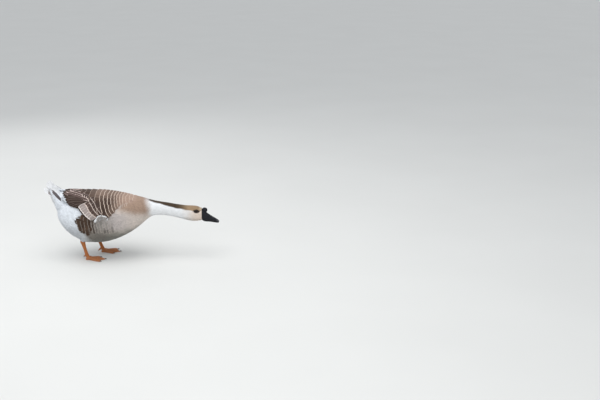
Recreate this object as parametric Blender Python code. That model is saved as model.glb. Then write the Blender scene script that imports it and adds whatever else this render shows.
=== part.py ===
"""A domestic goose of the knobbed brown kind, life size, standing with its neck stretched forward.

Units are metres, +Z is up and the goose faces +X. Each named object is one piece that a person would
name: trunk, tail, three lengths of neck, head, bill, knob, eyes, wings, wing tips, legs, feet, claws.
"""

import bisect
import math

import bmesh
import bpy
from mathutils import Matrix, Vector

# ---------------------------------------------------------------- driving dimensions
GAP = 0.0004  # clear space between neighbouring pieces
TRUNK_REAR, TRUNK_DEEPEST, TRUNK_FRONT = -0.374, -0.200, 0.078
NECK_CUTS = (0.150, 0.222, 0.284)  # where the three lengths of neck end
FACE = 0.3600  # where the feathered face meets the bill
BILL_TIP = 0.4455

KNOB_PLACE = Vector((0.3712, 0.0, 0.2470))
KNOB_RADII = (0.0148, 0.0125, 0.0133)
EYE_RADIUS = 0.0085
EYE_PLACE = Vector((0.3300, 0.0168, 0.2440))  # the left eye; the right one mirrors it

TAIL_ROOT = Vector((-0.3510, 0.0, 0.2964))
TAIL_RISE = math.radians(52.0)
TAIL_START, TAIL_LENGTH = 0.025, 0.124
TAIL_ROOT_HALF_WIDTH = 0.022
TAIL_FEATHERS = 16
TAIL_SPREAD = math.radians(60.0)  # the angle between the two outermost feathers

HOCK_HEIGHT = 0.100
ANKLE_HEIGHT = 0.019
STANCE = 0.062  # each foot's distance from the middle line
RIGHT_HOCK, RIGHT_ANKLE = -0.249, -0.229
LEFT_HOCK, LEFT_ANKLE = -0.204, -0.174
TOE_LENGTHS = (0.068, 0.090, 0.081)  # inner, middle and outer toe, to the claw's root
TOE_ANGLES = (26.0, 0.0, -27.0)  # degrees inwards from straight ahead
WEB_THICKNESS = 0.0018


# ---------------------------------------------------------------- helpers
def start_clean():
    """Removes the objects of the startup scene."""
    for thing in list(bpy.data.objects):
        bpy.data.objects.remove(thing, do_unlink=True)


def finish(name, colour, roughness):
    """A plain material of that colour."""
    material = bpy.data.materials.new(name)
    material.use_nodes = True
    shader = material.node_tree.nodes["Principled BSDF"]
    shader.inputs["Base Color"].default_value = (*colour, 1.0)
    shader.inputs["Roughness"].default_value = roughness
    shader.inputs["Metallic"].default_value = 0.0
    return material


def profile(points):
    """A smooth curve value(x) through a few (x, value) points."""
    xs, values = zip(*sorted(points))
    slopes = []
    for i in range(len(xs)):
        before, after = max(i - 1, 0), min(i + 1, len(xs) - 1)
        slopes.append((values[after] - values[before]) / (xs[after] - xs[before]))

    def value(x):
        x = min(max(x, xs[0]), xs[-1])
        i = min(bisect.bisect_right(xs, x), len(xs) - 1) - 1
        step = xs[i + 1] - xs[i]
        t = (x - xs[i]) / step
        rise = values[i + 1] - values[i]
        bend_in = slopes[i] * step - rise
        bend_out = rise - slopes[i + 1] * step
        return values[i] + rise * t + t * (1 - t) * (bend_in * (1 - t) + bend_out * t)

    return value


def eased(start, end, count):
    """Positions from start to end that crowd towards both ends."""
    turn = [math.pi * i / (count - 1) for i in range(count)]
    return [start + (end - start) * (1 - math.cos(a)) / 2 for a in turn]


def evenly(start, end, count):
    return [start + (end - start) * i / (count - 1) for i in range(count)]


def power(value, exponent):
    return math.copysign(abs(value) ** exponent, value)


def link(name, mesh, material):
    mesh.materials.append(material)
    thing = bpy.data.objects.new(name, mesh)
    bpy.context.scene.collection.objects.link(thing)
    return thing


def solid_from_rings(name, rings, material):
    """A closed solid through rings of equal length, with a flat cap on the first and the last."""
    shape = bmesh.new()
    rows = [[shape.verts.new(point) for point in ring] for ring in rings]
    around = len(rows[0])
    for near, far in zip(rows, rows[1:]):
        for k in range(around):
            after = (k + 1) % around
            shape.faces.new((near[k], near[after], far[after], far[k]))
    shape.faces.new(rows[0])
    shape.faces.new(list(reversed(rows[-1])))
    bmesh.ops.recalc_face_normals(shape, faces=shape.faces)
    mesh = bpy.data.meshes.new(name)
    shape.to_mesh(mesh)
    shape.free()
    mesh.shade_smooth()
    mesh.set_sharp_from_angle(angle=math.radians(50))
    return link(name, mesh, material)


def ball(name, centre, radii, material, rows=12, around=20):
    """An ellipsoid with its poles along Y."""
    mesh = bpy.data.meshes.new(name)
    shape = bmesh.new()
    bmesh.ops.create_uvsphere(shape, u_segments=around, v_segments=rows, radius=1.0)
    turn = Matrix.Rotation(math.pi / 2, 4, "X")
    place = Matrix.Translation(centre) @ Matrix.Diagonal((*radii, 1.0)) @ turn
    bmesh.ops.transform(shape, matrix=place, verts=shape.verts)
    shape.to_mesh(mesh)
    shape.free()
    mesh.shade_smooth()
    return link(name, mesh, material)


def swollen(thing, gap):
    """A hidden copy of a piece, its surface moved outwards by gap, to cut its neighbour with."""
    copy = bpy.data.objects.new("cutter_" + thing.name, evaluated_mesh(thing))
    bpy.context.scene.collection.objects.link(copy)
    normals = [vertex.normal.copy() for vertex in copy.data.vertices]
    for vertex, normal in zip(copy.data.vertices, normals):
        vertex.co += normal * gap
    copy.hide_render = True
    copy.display_type = "WIRE"
    return copy


def evaluated_mesh(thing):
    graph = bpy.context.evaluated_depsgraph_get()
    return bpy.data.meshes.new_from_object(thing.evaluated_get(graph))


def settle(thing):
    """Applies a piece's modifiers, so that later cuts start from its finished mesh."""
    mesh = evaluated_mesh(thing)
    thing.modifiers.clear()
    thing.data = mesh


def boolean(thing, other, operation):
    modifier = thing.modifiers.new(operation.lower(), "BOOLEAN")
    modifier.operation = operation
    modifier.solver = "EXACT"
    modifier.object = other
    bpy.context.view_layer.update()
    settle(thing)


def make_room(thing, *neighbours, gap=GAP):
    """Cuts the neighbours out of a piece, with a gap."""
    for neighbour in neighbours:
        cutter = swollen(neighbour, gap)
        boolean(thing, cutter, "DIFFERENCE")
        bpy.data.objects.remove(cutter, do_unlink=True)
    keep_largest(thing)


def keep_largest(thing):
    """Drops loose slivers that a cut leaves beside the piece."""
    shape = bmesh.new()
    shape.from_mesh(thing.data)
    left, islands = set(shape.verts), []
    while left:
        island, edge = set(), [left.pop()]
        while edge:
            vertex = edge.pop()
            island.add(vertex)
            for side in vertex.link_edges:
                other = side.other_vert(vertex)
                if other in left:
                    left.discard(other)
                    edge.append(other)
        islands.append(island)
    islands.sort(key=len, reverse=True)
    for island in islands[1:]:
        bmesh.ops.delete(shape, geom=list(island), context="VERTS")
    shape.to_mesh(thing.data)
    shape.free()


# ---------------------------------------------------------------- trunk, neck and head
# Three outlines of the body: its back line, its belly line and its half width, over x.
BACK_LINE = profile([
    (-0.374, 0.252), (-0.368, 0.266), (-0.356, 0.284), (-0.334, 0.306), (-0.310, 0.322),
    (-0.280, 0.334), (-0.220, 0.342), (-0.144, 0.343), (-0.077, 0.3365), (-0.015, 0.3260),
    (0.036, 0.3170), (0.072, 0.3080), (0.106, 0.2990), (0.139, 0.2925), (0.185, 0.2855),
    (0.236, 0.2765), (0.282, 0.2705), (0.310, 0.2695), (0.335, 0.2665), (FACE, 0.2560),
])
BELLY_LINE = profile([
    (-0.374, 0.214), (-0.368, 0.194), (-0.356, 0.172), (-0.334, 0.143), (-0.310, 0.121),
    (-0.278, 0.100), (-0.220, 0.083), (-0.144, 0.083), (-0.077, 0.1005), (-0.015, 0.130),
    (0.036, 0.1640), (0.072, 0.1960), (0.106, 0.2180), (0.139, 0.2215), (0.185, 0.2185),
    (0.236, 0.2080), (0.282, 0.1950), (0.310, 0.1900), (0.335, 0.1905), (FACE, 0.1950),
])
HALF_WIDTH = profile([
    (-0.374, 0.030), (-0.368, 0.048), (-0.356, 0.066), (-0.334, 0.084), (-0.310, 0.096),
    (-0.280, 0.105), (-0.220, 0.113), (-0.144, 0.115), (-0.077, 0.110), (-0.015, 0.098),
    (0.036, 0.078), (0.072, 0.0565), (0.106, 0.0400), (0.139, 0.0325), (0.185, 0.0290),
    (0.236, 0.0275), (0.282, 0.0272), (0.310, 0.0272), (0.335, 0.0243), (FACE, 0.0190),
])
# How far up each section its widest point sits, as a share of the height, and how square it is.
WIDEST = profile([(TRUNK_REAR, 0.48), (-0.22, 0.47), (-0.05, 0.50), (0.10, 0.50), (0.30, 0.47), (FACE, 0.45)])
FULLNESS = profile([(TRUNK_REAR, 2.0), (-0.20, 2.25), (0.0, 2.15), (0.12, 2.0), (0.30, 2.2), (FACE, 2.3)])


def body_ring(x, sides):
    """An upright section of the body at x."""
    low, high = BELLY_LINE(x), BACK_LINE(x)
    middle = low + (high - low) * WIDEST(x)
    ring = []
    for k in range(sides):
        angle = math.tau * k / sides
        across = power(math.cos(angle), 2 / FULLNESS(x))
        upright = power(math.sin(angle), 2 / FULLNESS(x))
        reach = high - middle if upright > 0 else middle - low
        ring.append(Vector((x, HALF_WIDTH(x) * across, middle + reach * upright)))
    return ring


def make_trunk(material):
    rear = eased(TRUNK_REAR, TRUNK_DEEPEST, 10)[:-1]
    front = evenly(TRUNK_DEEPEST, TRUNK_FRONT, 11)
    return solid_from_rings("trunk", [body_ring(x, 28) for x in rear + front], material)


def make_neck(material):
    """Three lengths of neck, each parted from the next by a thin cut."""
    lengths = []
    start = TRUNK_FRONT
    for name, end in zip(("neck_base", "neck_middle", "neck_upper"), NECK_CUTS):
        rings = [body_ring(x, 20) for x in evenly(start + GAP, end, 5)]
        lengths.append(solid_from_rings(name, rings, material))
        start = end
    return lengths


def make_head(material):
    places = evenly(NECK_CUTS[-1] + GAP, FACE, 10)
    return solid_from_rings("head", [body_ring(x, 22) for x in places], material)


# ---------------------------------------------------------------- bill, knob and eyes
CULMEN = profile([
    (FACE, 0.2520), (0.368, 0.2455), (0.382, 0.2345), (0.396, 0.2235), (0.410, 0.2140),
    (0.424, 0.2050), (0.436, 0.1975), (BILL_TIP, 0.1885),
])
GAPE_LINE = profile([
    (FACE, 0.2055), (0.368, 0.2025), (0.382, 0.1990), (0.396, 0.1970), (0.410, 0.1945),
    (0.424, 0.1905), (0.436, 0.1868), (BILL_TIP, 0.1825),
])
CHIN_LINE = profile([
    (FACE, 0.1945), (0.368, 0.1885), (0.382, 0.1860), (0.396, 0.1850), (0.410, 0.1835),
    (0.424, 0.1815), (0.436, 0.1795), (BILL_TIP, 0.1785),
])
BILL_HALF_WIDTH = profile([
    (FACE, 0.0185), (0.368, 0.0175), (0.382, 0.0163), (0.396, 0.0150), (0.410, 0.0141),
    (0.424, 0.0134), (0.434, 0.0120), (0.441, 0.0088), (BILL_TIP, 0.0035),
])
MOUTH_GAP = 0.0006


def bill_ring(x, low, high, seat, half_width, fullness, sides=18):
    """A section of one half of the bill, widest at the height of its seat on the other half."""
    ring = []
    for k in range(sides):
        angle = math.tau * k / sides
        across = power(math.cos(angle), 2 / fullness)
        upright = power(math.sin(angle), 2 / fullness)
        reach = high - seat if upright > 0 else seat - low
        ring.append(Vector((x, half_width * across, seat + reach * upright)))
    return ring


def make_bill(material):
    upper, lower = [], []
    for x in eased(FACE + GAP, BILL_TIP, 12):
        half, gape = BILL_HALF_WIDTH(x), GAPE_LINE(x)
        upper.append(bill_ring(x, gape - 0.0006, CULMEN(x), gape + 0.0016, half, 2.3))
        top = gape - 0.0006 - MOUTH_GAP
        lower.append(bill_ring(x, CHIN_LINE(x), top, top - 0.0012, half * 0.90, 2.4))
    return (
        solid_from_rings("bill_upper", upper, material),
        solid_from_rings("bill_lower", lower[:-1], material),
    )


def make_knob(material, bill_upper, head):
    """The rounded knob on the root of the bill."""
    knob = ball("knob", KNOB_PLACE, KNOB_RADII, material, rows=8, around=14)
    make_room(knob, bill_upper, head)
    return knob


def make_eyes(head, material):
    eyes = []
    for name, side in (("eye_left", 1), ("eye_right", -1)):
        centre = Vector((EYE_PLACE.x, EYE_PLACE.y * side, EYE_PLACE.z))
        eye = ball(name, centre, (EYE_RADIUS,) * 3, material, rows=8, around=14)
        make_room(head, eye)
        eyes.append(eye)
    return eyes


# ---------------------------------------------------------------- tail
def tail_point(along, across, lift):
    """A point in the tail's own frame: along its axis, to the left, and square to its upper face."""
    axis = Vector((-math.cos(TAIL_RISE), 0.0, math.sin(TAIL_RISE)))
    upper_side = Vector((math.sin(TAIL_RISE), 0.0, math.cos(TAIL_RISE)))
    return TAIL_ROOT + axis * along + Vector((0.0, across, 0.0)) + upper_side * lift


# Depth of the coverts below and above the tail, and their half width, over the distance along it.
COVERT_UNDER = profile([
    (-0.034, 0.059), (-0.008, 0.0487), (0.031, 0.0355), (0.072, 0.0197), (0.095, 0.0085), (0.107, 0.0035),
])
COVERT_OVER = profile([
    (-0.034, 0.016), (0.0, 0.025), (0.030, 0.026), (0.060, 0.022), (0.080, 0.014), (0.095, 0.0075),
    (0.107, 0.0030),
])
COVERT_HALF_WIDTH = profile([
    (-0.034, 0.062), (0.0, 0.062), (0.030, 0.060), (0.060, 0.058), (0.080, 0.052), (0.095, 0.042),
    (0.107, 0.020),
])
COVERTS_START, COVERTS_END = -0.034, 0.107
TAIL_ARCH = -0.004  # how far the outermost feathers sink below the middle ones


def make_tail_coverts(material, trunk):
    """The wedge of soft feathers above and below the root of the tail."""
    rings, sides = [], 20
    for along in evenly(COVERTS_START, COVERTS_END, 10):
        ring = []
        for k in range(sides):
            angle = math.tau * k / sides
            lift = math.sin(angle)
            reach = COVERT_OVER(along) if lift > 0 else COVERT_UNDER(along)
            ring.append(tail_point(along, COVERT_HALF_WIDTH(along) * math.cos(angle), reach * lift))
        rings.append(ring)
    coverts = solid_from_rings("tail_coverts", rings, material)
    make_room(coverts, trunk, gap=2 * GAP)
    return coverts


def make_tail(material, coverts):
    """The fan of tail feathers: a thin plate with one rounded tip for each feather."""
    per_feather, rows = 3, 3
    columns = TAIL_FEATHERS * per_feather
    rings = []
    for c in range(columns + 1):
        share = 2 * c / columns - 1
        angle = share * TAIL_SPREAD / 2
        in_feather = (c % per_feather) / per_feather
        notch = 0.0035 * (1 - math.sin(math.pi * in_feather)) if 0 < c < columns else 0.008
        reach = TAIL_LENGTH - notch
        upper, lower = [], []
        for along in evenly(TAIL_START, reach, rows + 1):
            middle = TAIL_ARCH * share ** 2 * along / TAIL_LENGTH + 0.0012
            half_depth = 0.0011 - 0.0006 * along / TAIL_LENGTH
            ahead = math.cos(angle) * along
            across = TAIL_ROOT_HALF_WIDTH * share + math.sin(angle) * along
            upper.append(tail_point(ahead, across, middle + half_depth))
            lower.append(tail_point(ahead, across, middle - half_depth))
        rings.append(upper + lower[::-1])
    tail = solid_from_rings("tail", rings, material)
    make_room(tail, coverts)
    return tail


# ---------------------------------------------------------------- wings
# The folded wing's outlines in side view and in plan, over x.
WING_LOW = profile([
    (-0.358, 0.340), (-0.350, 0.329), (-0.330, 0.314), (-0.300, 0.300), (-0.262, 0.293),
    (-0.240, 0.272), (-0.208, 0.234), (-0.178, 0.217), (-0.145, 0.226), (-0.112, 0.243),
    (-0.068, 0.277), (-0.031, 0.302), (0.0, 0.316),
])
WING_HIGH = profile([
    (-0.358, 0.3480), (-0.350, 0.3500), (-0.320, 0.3515), (-0.260, 0.3510), (-0.200, 0.3500),
    (-0.140, 0.3475), (-0.080, 0.3395), (-0.030, 0.3300), (0.0, 0.3240),
])
WING_HALF_WIDTH = profile([
    (-0.358, 0.030), (-0.350, 0.040), (-0.320, 0.072), (-0.290, 0.094), (-0.250, 0.112),
    (-0.200, 0.1235), (-0.140, 0.1265), (-0.080, 0.1205), (-0.030, 0.1060), (0.0, 0.0945),
])
WING_MIDDLE = profile([
    (-0.358, 0.305), (-0.330, 0.285), (-0.280, 0.255), (-0.220, 0.230), (-0.100, 0.225), (0.0, 0.230),
])
WING_DEPTH = profile([
    (-0.358, 0.005), (-0.330, 0.009), (-0.300, 0.020), (-0.240, 0.026), (-0.060, 0.026), (0.0, 0.018),
])
WING_TOP_ANGLE = math.radians(83)
WING_SQUARENESS = 2.3
WING_FRONT, WING_REAR, WING_PART = -0.002, -0.357, -0.243


def wing_section(x, side, columns=7):
    """A closed strip across the wing at x: its outer face from top to bottom, then its inner one."""
    middle, high = WING_MIDDLE(x), WING_HIGH(x)
    low_share = (WING_LOW(x) - middle) / (high - middle)
    low_angle = math.asin(min(power(low_share, 1.15), 0.97))
    outer, inner = [], []
    for k in range(columns):
        angle = WING_TOP_ANGLE + (low_angle - WING_TOP_ANGLE) * k / (columns - 1)
        y = WING_HALF_WIDTH(x) * power(math.cos(angle), 2 / WING_SQUARENESS)
        z = middle + (high - middle) * power(math.sin(angle), 2 / WING_SQUARENESS)
        inwards = Vector((0.0, -y, -(z - middle) * 0.8 - 0.004)).normalized()
        edge = min(k, columns - 1 - k)
        depth = WING_DEPTH(x) * (0.72 if edge == 0 else 1.0)
        point = Vector((x, y, z))
        outer.append(point)
        inner.append(point + inwards * depth)
    return [Vector((p.x, p.y * side, p.z)) for p in outer + inner[::-1]]


def make_wing(side_name, side, materials, trunk, coverts, tail):
    """The folded wing, and its tip of long flight feathers behind a thin cut."""
    arm = [wing_section(x, side) for x in evenly(WING_FRONT, WING_PART + GAP, 11)]
    tip = [wing_section(x, side) for x in evenly(WING_PART, WING_REAR, 8)]
    wing = solid_from_rings("wing_" + side_name, arm, materials["brown"])
    wing_tip = solid_from_rings("wing_tip_" + side_name, tip, materials["quill"])
    make_room(wing, trunk)
    make_room(wing_tip, trunk, coverts, tail)
    return wing, wing_tip


# ---------------------------------------------------------------- legs and feet
def limb(name, points, radii, material, around=16, flatten=1.0):
    """A round tapering solid along a few points, its sections flattened sideways if asked."""
    rings = []
    for i, (point, radius) in enumerate(zip(points, radii)):
        before, after = points[max(i - 1, 0)], points[min(i + 1, len(points) - 1)]
        along = (after - before).normalized()
        sideways = Vector((0.0, 1.0, 0.0))
        sideways = (sideways - along * sideways.dot(along)).normalized()
        ahead = sideways.cross(along)
        ring = []
        for k in range(around):
            angle = math.tau * k / around
            aside = sideways * radius * flatten * math.cos(angle)
            ring.append(point + aside + ahead * radius * math.sin(angle))
        rings.append(ring)
    return solid_from_rings(name, rings, material)


def along_curve(points, count):
    """Points at even steps of the parameter on a smooth curve through a few points."""
    axes = [profile(list(enumerate(p[axis] for p in points))) for axis in range(3)]
    steps = evenly(0, len(points) - 1, count)
    return [Vector([axis(t) for axis in axes]) for t in steps]


def make_leg(side_name, side, hock_x, ankle_x, materials, trunk):
    """The feathered thigh, the scaly shank and the webbed foot with its claws."""
    y = STANCE * side
    hock = Vector((hock_x, y, HOCK_HEIGHT))
    ankle = Vector((ankle_x, y, ANKLE_HEIGHT))
    hip = Vector((hock_x + 0.082, y * 1.38, 0.182))
    bend = Vector((hock_x + 0.030, y * 1.26, 0.130))
    thigh_end = hock + (bend - hock) * 0.30
    thigh_line = along_curve([hip, bend, thigh_end], 7)
    thigh_size = profile([(0, 0.050), (2.6, 0.040), (4.3, 0.026), (6, 0.0145)])
    radii = [thigh_size(i) for i in range(7)]
    thigh = limb("thigh_" + side_name, thigh_line, radii, materials["brown"], 18, 0.66)
    make_room(thigh, trunk)

    down = ankle - hock
    shank_line = [bend + (hock - bend) * 0.62, hock + (bend - hock) * 0.14 + Vector((-0.002, 0, 0))]
    shank_line += [hock + down * t for t in (0.06, 0.20, 0.40, 0.62, 0.82, 0.97)]
    shank_line.append(ankle + Vector((0.004, 0, -0.006)))
    radii = [0.0088, 0.0120, 0.0128, 0.0104, 0.0084, 0.0079, 0.0086, 0.0098, 0.0080]
    shank = limb("shank_" + side_name, shank_line, radii, materials["leg"], 10, 0.80)
    foot = make_foot(side_name, side, ankle, materials)
    make_hind_toe(side_name, side, ankle, materials, shank, foot)
    make_room(shank, trunk, thigh, foot)


class FootPlan:
    """The foot seen from above: a heel, three toes fanning out of it, and webs scooped between them."""

    heel_radius = 0.0105
    toe_radii = (0.0082, 0.0046)  # at the heel and at the claw's root
    toe_margin = math.radians(6.5)
    web_scoop = 0.17

    def __init__(self, side, ankle):
        self.heel = Vector((ankle.x + 0.002, ankle.y))
        turns = [math.radians(-angle * side) for angle in TOE_ANGLES]
        self.rays = [Vector((math.cos(turn), math.sin(turn))) for turn in turns]
        self.tips = sorted(zip(turns, TOE_LENGTHS))

    def directions(self):
        """Spokes from the heel: close together over the toes, wide apart behind the heel."""
        degrees = [45, 62, 85, 115, 150, 180, 210, 245, 275, 298, 315]
        spokes = [math.radians(angle) for angle in degrees]
        for turn, _ in self.tips:
            spokes += [turn + math.radians(angle) for angle in (-7.0, -3.2, 0.0, 3.2, 7.0)]
        for (low, _), (high, _) in zip(self.tips, self.tips[1:]):
            spokes.append((low + high) / 2)
        return sorted(turn % math.tau for turn in spokes)

    def reach(self, turn):
        """How far the outline lies from the heel in that direction."""
        turn = (turn + math.pi) % math.tau - math.pi
        (first, first_length), (last, last_length) = self.tips[0], self.tips[-1]
        if turn <= first - self.toe_margin or turn >= last + self.toe_margin:
            beside = min(abs(turn - first + self.toe_margin), abs(turn - last - self.toe_margin))
            toe_side = 0.0052 / math.sin(min(beside + 0.075, math.pi / 2))
            edge = first_length if turn < 0 else last_length
            return max(self.heel_radius, min(edge * 0.93, toe_side))
        if turn < first:
            return first_length
        if turn > last:
            return last_length
        for (low, low_length), (high, high_length) in zip(self.tips, self.tips[1:]):
            if low <= turn <= high:
                share = (turn - low) / (high - low)
                scoop = self.web_scoop * math.sin(math.pi * share) ** 0.8
                return (low_length + (high_length - low_length) * share) * (1 - scoop)
        return self.heel_radius

    def height(self, point):
        """The height of the foot's upper side: the web, the rounded toes and the pad under the shank."""
        away = point - self.heel
        pad = 0.009 * max(0.0, 1 - (away.length / 0.013) ** 2)
        toe_rise = 0.0
        for ray, length in zip(self.rays, TOE_LENGTHS):
            along = min(max(away.dot(ray) / length, 0.0), 1.0)
            radius = self.toe_radii[0] + (self.toe_radii[1] - self.toe_radii[0]) * along
            beside = (away - ray * length * along).length
            if beside < radius:
                toe_rise = max(toe_rise, 1.55 * math.sqrt(radius ** 2 - beside ** 2))
        return WEB_THICKNESS + toe_rise + pad


def make_foot(side_name, side, ankle, materials):
    """One foot with a flat sole, modelled on a fan of spokes, and the claws of its three front toes."""
    plan = FootPlan(side, ankle)
    steps = 6
    spokes = plan.directions()
    shape = bmesh.new()
    top = shape.verts.new((*plan.heel, plan.height(plan.heel)))
    rings = []
    for step in range(1, steps + 1):
        share = (step / steps) ** 0.9
        ring = []
        for turn in spokes:
            point = plan.heel + Vector((math.cos(turn), math.sin(turn))) * plan.reach(turn) * share
            rim = 0.35 if step == steps else 1.0
            ring.append(shape.verts.new((*point, max(plan.height(point) * rim, 0.0009))))
        rings.append(ring)
    rings.append([shape.verts.new((vertex.co.x, vertex.co.y, 0.0)) for vertex in rings[-1]])
    for k in range(len(spokes)):
        after = (k + 1) % len(spokes)
        shape.faces.new((top, rings[0][k], rings[0][after]))
        for near, far in zip(rings, rings[1:]):
            shape.faces.new((near[k], far[k], far[after], near[after]))
    shape.faces.new(list(reversed(rings[-1])))
    bmesh.ops.recalc_face_normals(shape, faces=shape.faces)
    mesh = bpy.data.meshes.new("foot_" + side_name)
    shape.to_mesh(mesh)
    shape.free()
    mesh.shade_smooth()
    mesh.set_sharp_from_angle(angle=math.radians(50))
    foot = link("foot_" + side_name, mesh, materials["leg"])

    for name, ray, length in zip(("inner", "middle", "outer"), plan.rays, TOE_LENGTHS):
        root = plan.heel + ray * length
        claw = make_claw(f"claw_{name}_{side_name}", root, ray, materials["claw"])
        make_room(foot, claw)
    return foot


def ahead_of(start, ray, forward, lift):
    """A point some way forward along a level ray, and some way up."""
    return start + Vector((ray.x * forward, ray.y * forward, lift))


def make_claw(name, root, ray, material):
    """A short blunt claw that bends down towards the floor."""
    start = Vector((root.x, root.y, 0.0046))
    places = ((-0.0022, 0.0), (0.0015, -0.0003), (0.0045, -0.0011), (0.0073, -0.0024))
    line = [ahead_of(start, ray, forward, lift) for forward, lift in places]
    return limb(name, line, (0.0025, 0.0026, 0.0019, 0.0007), material, 8)


def make_hind_toe(side_name, side, ankle, materials, shank, foot):
    """The small raised toe behind the shank, with its claw."""
    turn = math.radians(180 + 38 * side)
    ray = Vector((math.cos(turn), math.sin(turn)))
    root = ahead_of(Vector((ankle.x, ankle.y, 0.0225)), ray, 0.0065, 0.0)
    line = [root, ahead_of(root, ray, 0.009, -0.0035), ahead_of(root, ray, 0.017, -0.0095)]
    toe = limb("hind_toe_" + side_name, line, (0.0048, 0.0042, 0.0028), materials["leg"], 10)
    places = ((0.0010, -0.0008), (0.0040, -0.0035), (0.0055, -0.0065))
    claw_line = [ahead_of(line[-1], ray, forward, lift) for forward, lift in places]
    claw = limb("claw_hind_" + side_name, claw_line, (0.0019, 0.0015, 0.0006), materials["claw"], 8)
    make_room(toe, shank, foot)
    make_room(claw, toe)


# ---------------------------------------------------------------- the whole goose
def rest_on_origin():
    """Moves every piece so that the goose stands on z = 0 with the middle of its box on the origin."""
    pieces = [thing for thing in bpy.data.objects if thing.type == "MESH"]
    corners = [vertex.co for thing in pieces for vertex in thing.data.vertices]
    low = Vector([min(corner[axis] for corner in corners) for axis in range(3)])
    high = Vector([max(corner[axis] for corner in corners) for axis in range(3)])
    offset = Vector((-(low.x + high.x) / 2, -(low.y + high.y) / 2, -low.z))
    for thing in pieces:
        thing.data.transform(Matrix.Translation(offset))


def main():
    start_clean()
    materials = {
        "white": finish("plumage_white", (0.82, 0.82, 0.80), 0.85),
        "brown": finish("plumage_brown", (0.23, 0.16, 0.12), 0.80),
        "buff": finish("plumage_buff", (0.50, 0.41, 0.33), 0.85),
        "quill": finish("plumage_quill", (0.10, 0.075, 0.06), 0.65),
        "bill": finish("bill_black", (0.018, 0.017, 0.019), 0.42),
        "leg": finish("leg_orange", (0.55, 0.17, 0.04), 0.55),
        "claw": finish("claw_horn", (0.045, 0.035, 0.03), 0.40),
        "eye": finish("eye_brown", (0.035, 0.014, 0.006), 0.06),
    }
    trunk = make_trunk(materials["buff"])
    make_neck(materials["white"])
    head = make_head(materials["buff"])
    make_eyes(head, materials["eye"])
    bill_upper, _ = make_bill(materials["bill"])
    make_knob(materials["bill"], bill_upper, head)
    coverts = make_tail_coverts(materials["white"], trunk)
    tail = make_tail(materials["quill"], coverts)
    for side_name, side in (("left", 1), ("right", -1)):
        make_wing(side_name, side, materials, trunk, coverts, tail)
    make_leg("right", -1, RIGHT_HOCK, RIGHT_ANKLE, materials, trunk)
    make_leg("left", 1, LEFT_HOCK, LEFT_ANKLE, materials, trunk)
    rest_on_origin()


main()
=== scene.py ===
# %% [markdown]
# # A domestic goose, dressed over its solid model
#
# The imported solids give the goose's size and pose: it stands with its neck stretched out in front.
# This lesson gives it a skin without seams, a coat of overlapping feathers, and its eyes, bill and
# scaly legs, all in metres and in the frame of the solids. The goose faces +X, and +Z is up.

import math

import bpy
import numpy as np
from mathutils import Matrix, Vector, kdtree
from mathutils.bvhtree import BVHTree


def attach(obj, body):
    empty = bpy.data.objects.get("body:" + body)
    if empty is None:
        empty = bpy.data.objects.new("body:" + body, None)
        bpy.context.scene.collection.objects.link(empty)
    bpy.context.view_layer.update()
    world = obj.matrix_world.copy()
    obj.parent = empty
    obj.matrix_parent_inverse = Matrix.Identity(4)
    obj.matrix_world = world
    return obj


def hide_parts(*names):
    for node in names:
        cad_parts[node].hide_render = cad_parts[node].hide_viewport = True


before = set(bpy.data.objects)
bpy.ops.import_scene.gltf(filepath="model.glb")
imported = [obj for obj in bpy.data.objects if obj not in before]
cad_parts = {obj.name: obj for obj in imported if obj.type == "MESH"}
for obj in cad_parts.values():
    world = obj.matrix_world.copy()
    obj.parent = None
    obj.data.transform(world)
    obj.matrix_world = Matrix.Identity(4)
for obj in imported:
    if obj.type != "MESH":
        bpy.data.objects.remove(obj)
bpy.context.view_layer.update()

# %% [markdown]
# ## Camera and light
# The goose is seen from its right side, from a little above, as a standing person sees it. Three wide
# soft lamps with a pale sky stand in for a bright cloudy day: most of the light comes from above, so
# the belly falls into a soft shade.

# %% Camera and lamps
LOOK_DOWN = 15.6  # degrees below level
scene = bpy.context.scene
scene.view_settings.view_transform = "Standard"
camera = bpy.data.objects.new("camera", bpy.data.cameras.new("camera"))
camera.data.lens, camera.data.sensor_width = 57.6, 36.0
camera.location = (0.853, -4.73, 1.620)
camera.rotation_euler = (math.radians(90 - LOOK_DOWN), 0, 0)
scene.collection.objects.link(camera)
scene.camera = camera


def only(*things):
    """Selects these objects and nothing else, with the first one active."""
    bpy.ops.object.select_all(action="DESELECT")
    for thing in things:
        thing.select_set(True)
    bpy.context.view_layer.objects.active = things[0]


def soft_lamp(name, place, aim, size, power):
    """A square lamp that faces a point."""
    data = bpy.data.lights.new(name, "AREA")
    data.size, data.energy = size, power
    lamp = bpy.data.objects.new(name, data)
    lamp.location = place
    lamp.rotation_euler = (Vector(aim) - Vector(place)).to_track_quat("-Z", "Y").to_euler()
    scene.collection.objects.link(lamp)


MIDDLE = (0, 0, 0.2)
soft_lamp("lamp_above", (-0.4, -0.6, 3.2), MIDDLE, size=3.0, power=66)
soft_lamp("lamp_camera_side", (1.4, -3.2, 1.9), MIDDLE, size=2.2, power=21)
soft_lamp("lamp_behind", (-1.6, 2.8, 2.0), MIDDLE, size=2.0, power=14)
world = bpy.data.worlds.new("sky")
world.use_nodes = True
world.node_tree.nodes["Background"].inputs["Color"].default_value = (0.93, 0.96, 1.0, 1)
world.node_tree.nodes["Background"].inputs["Strength"].default_value = 0.80
scene.world = world

# %% [markdown]
# ## A shorthand for materials
# A material is a tree of nodes. `Number` wraps a socket, so that sums of sockets can be written as
# Python sums, and `Finish` adds any other node from its type, its settings and its inputs.


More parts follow.
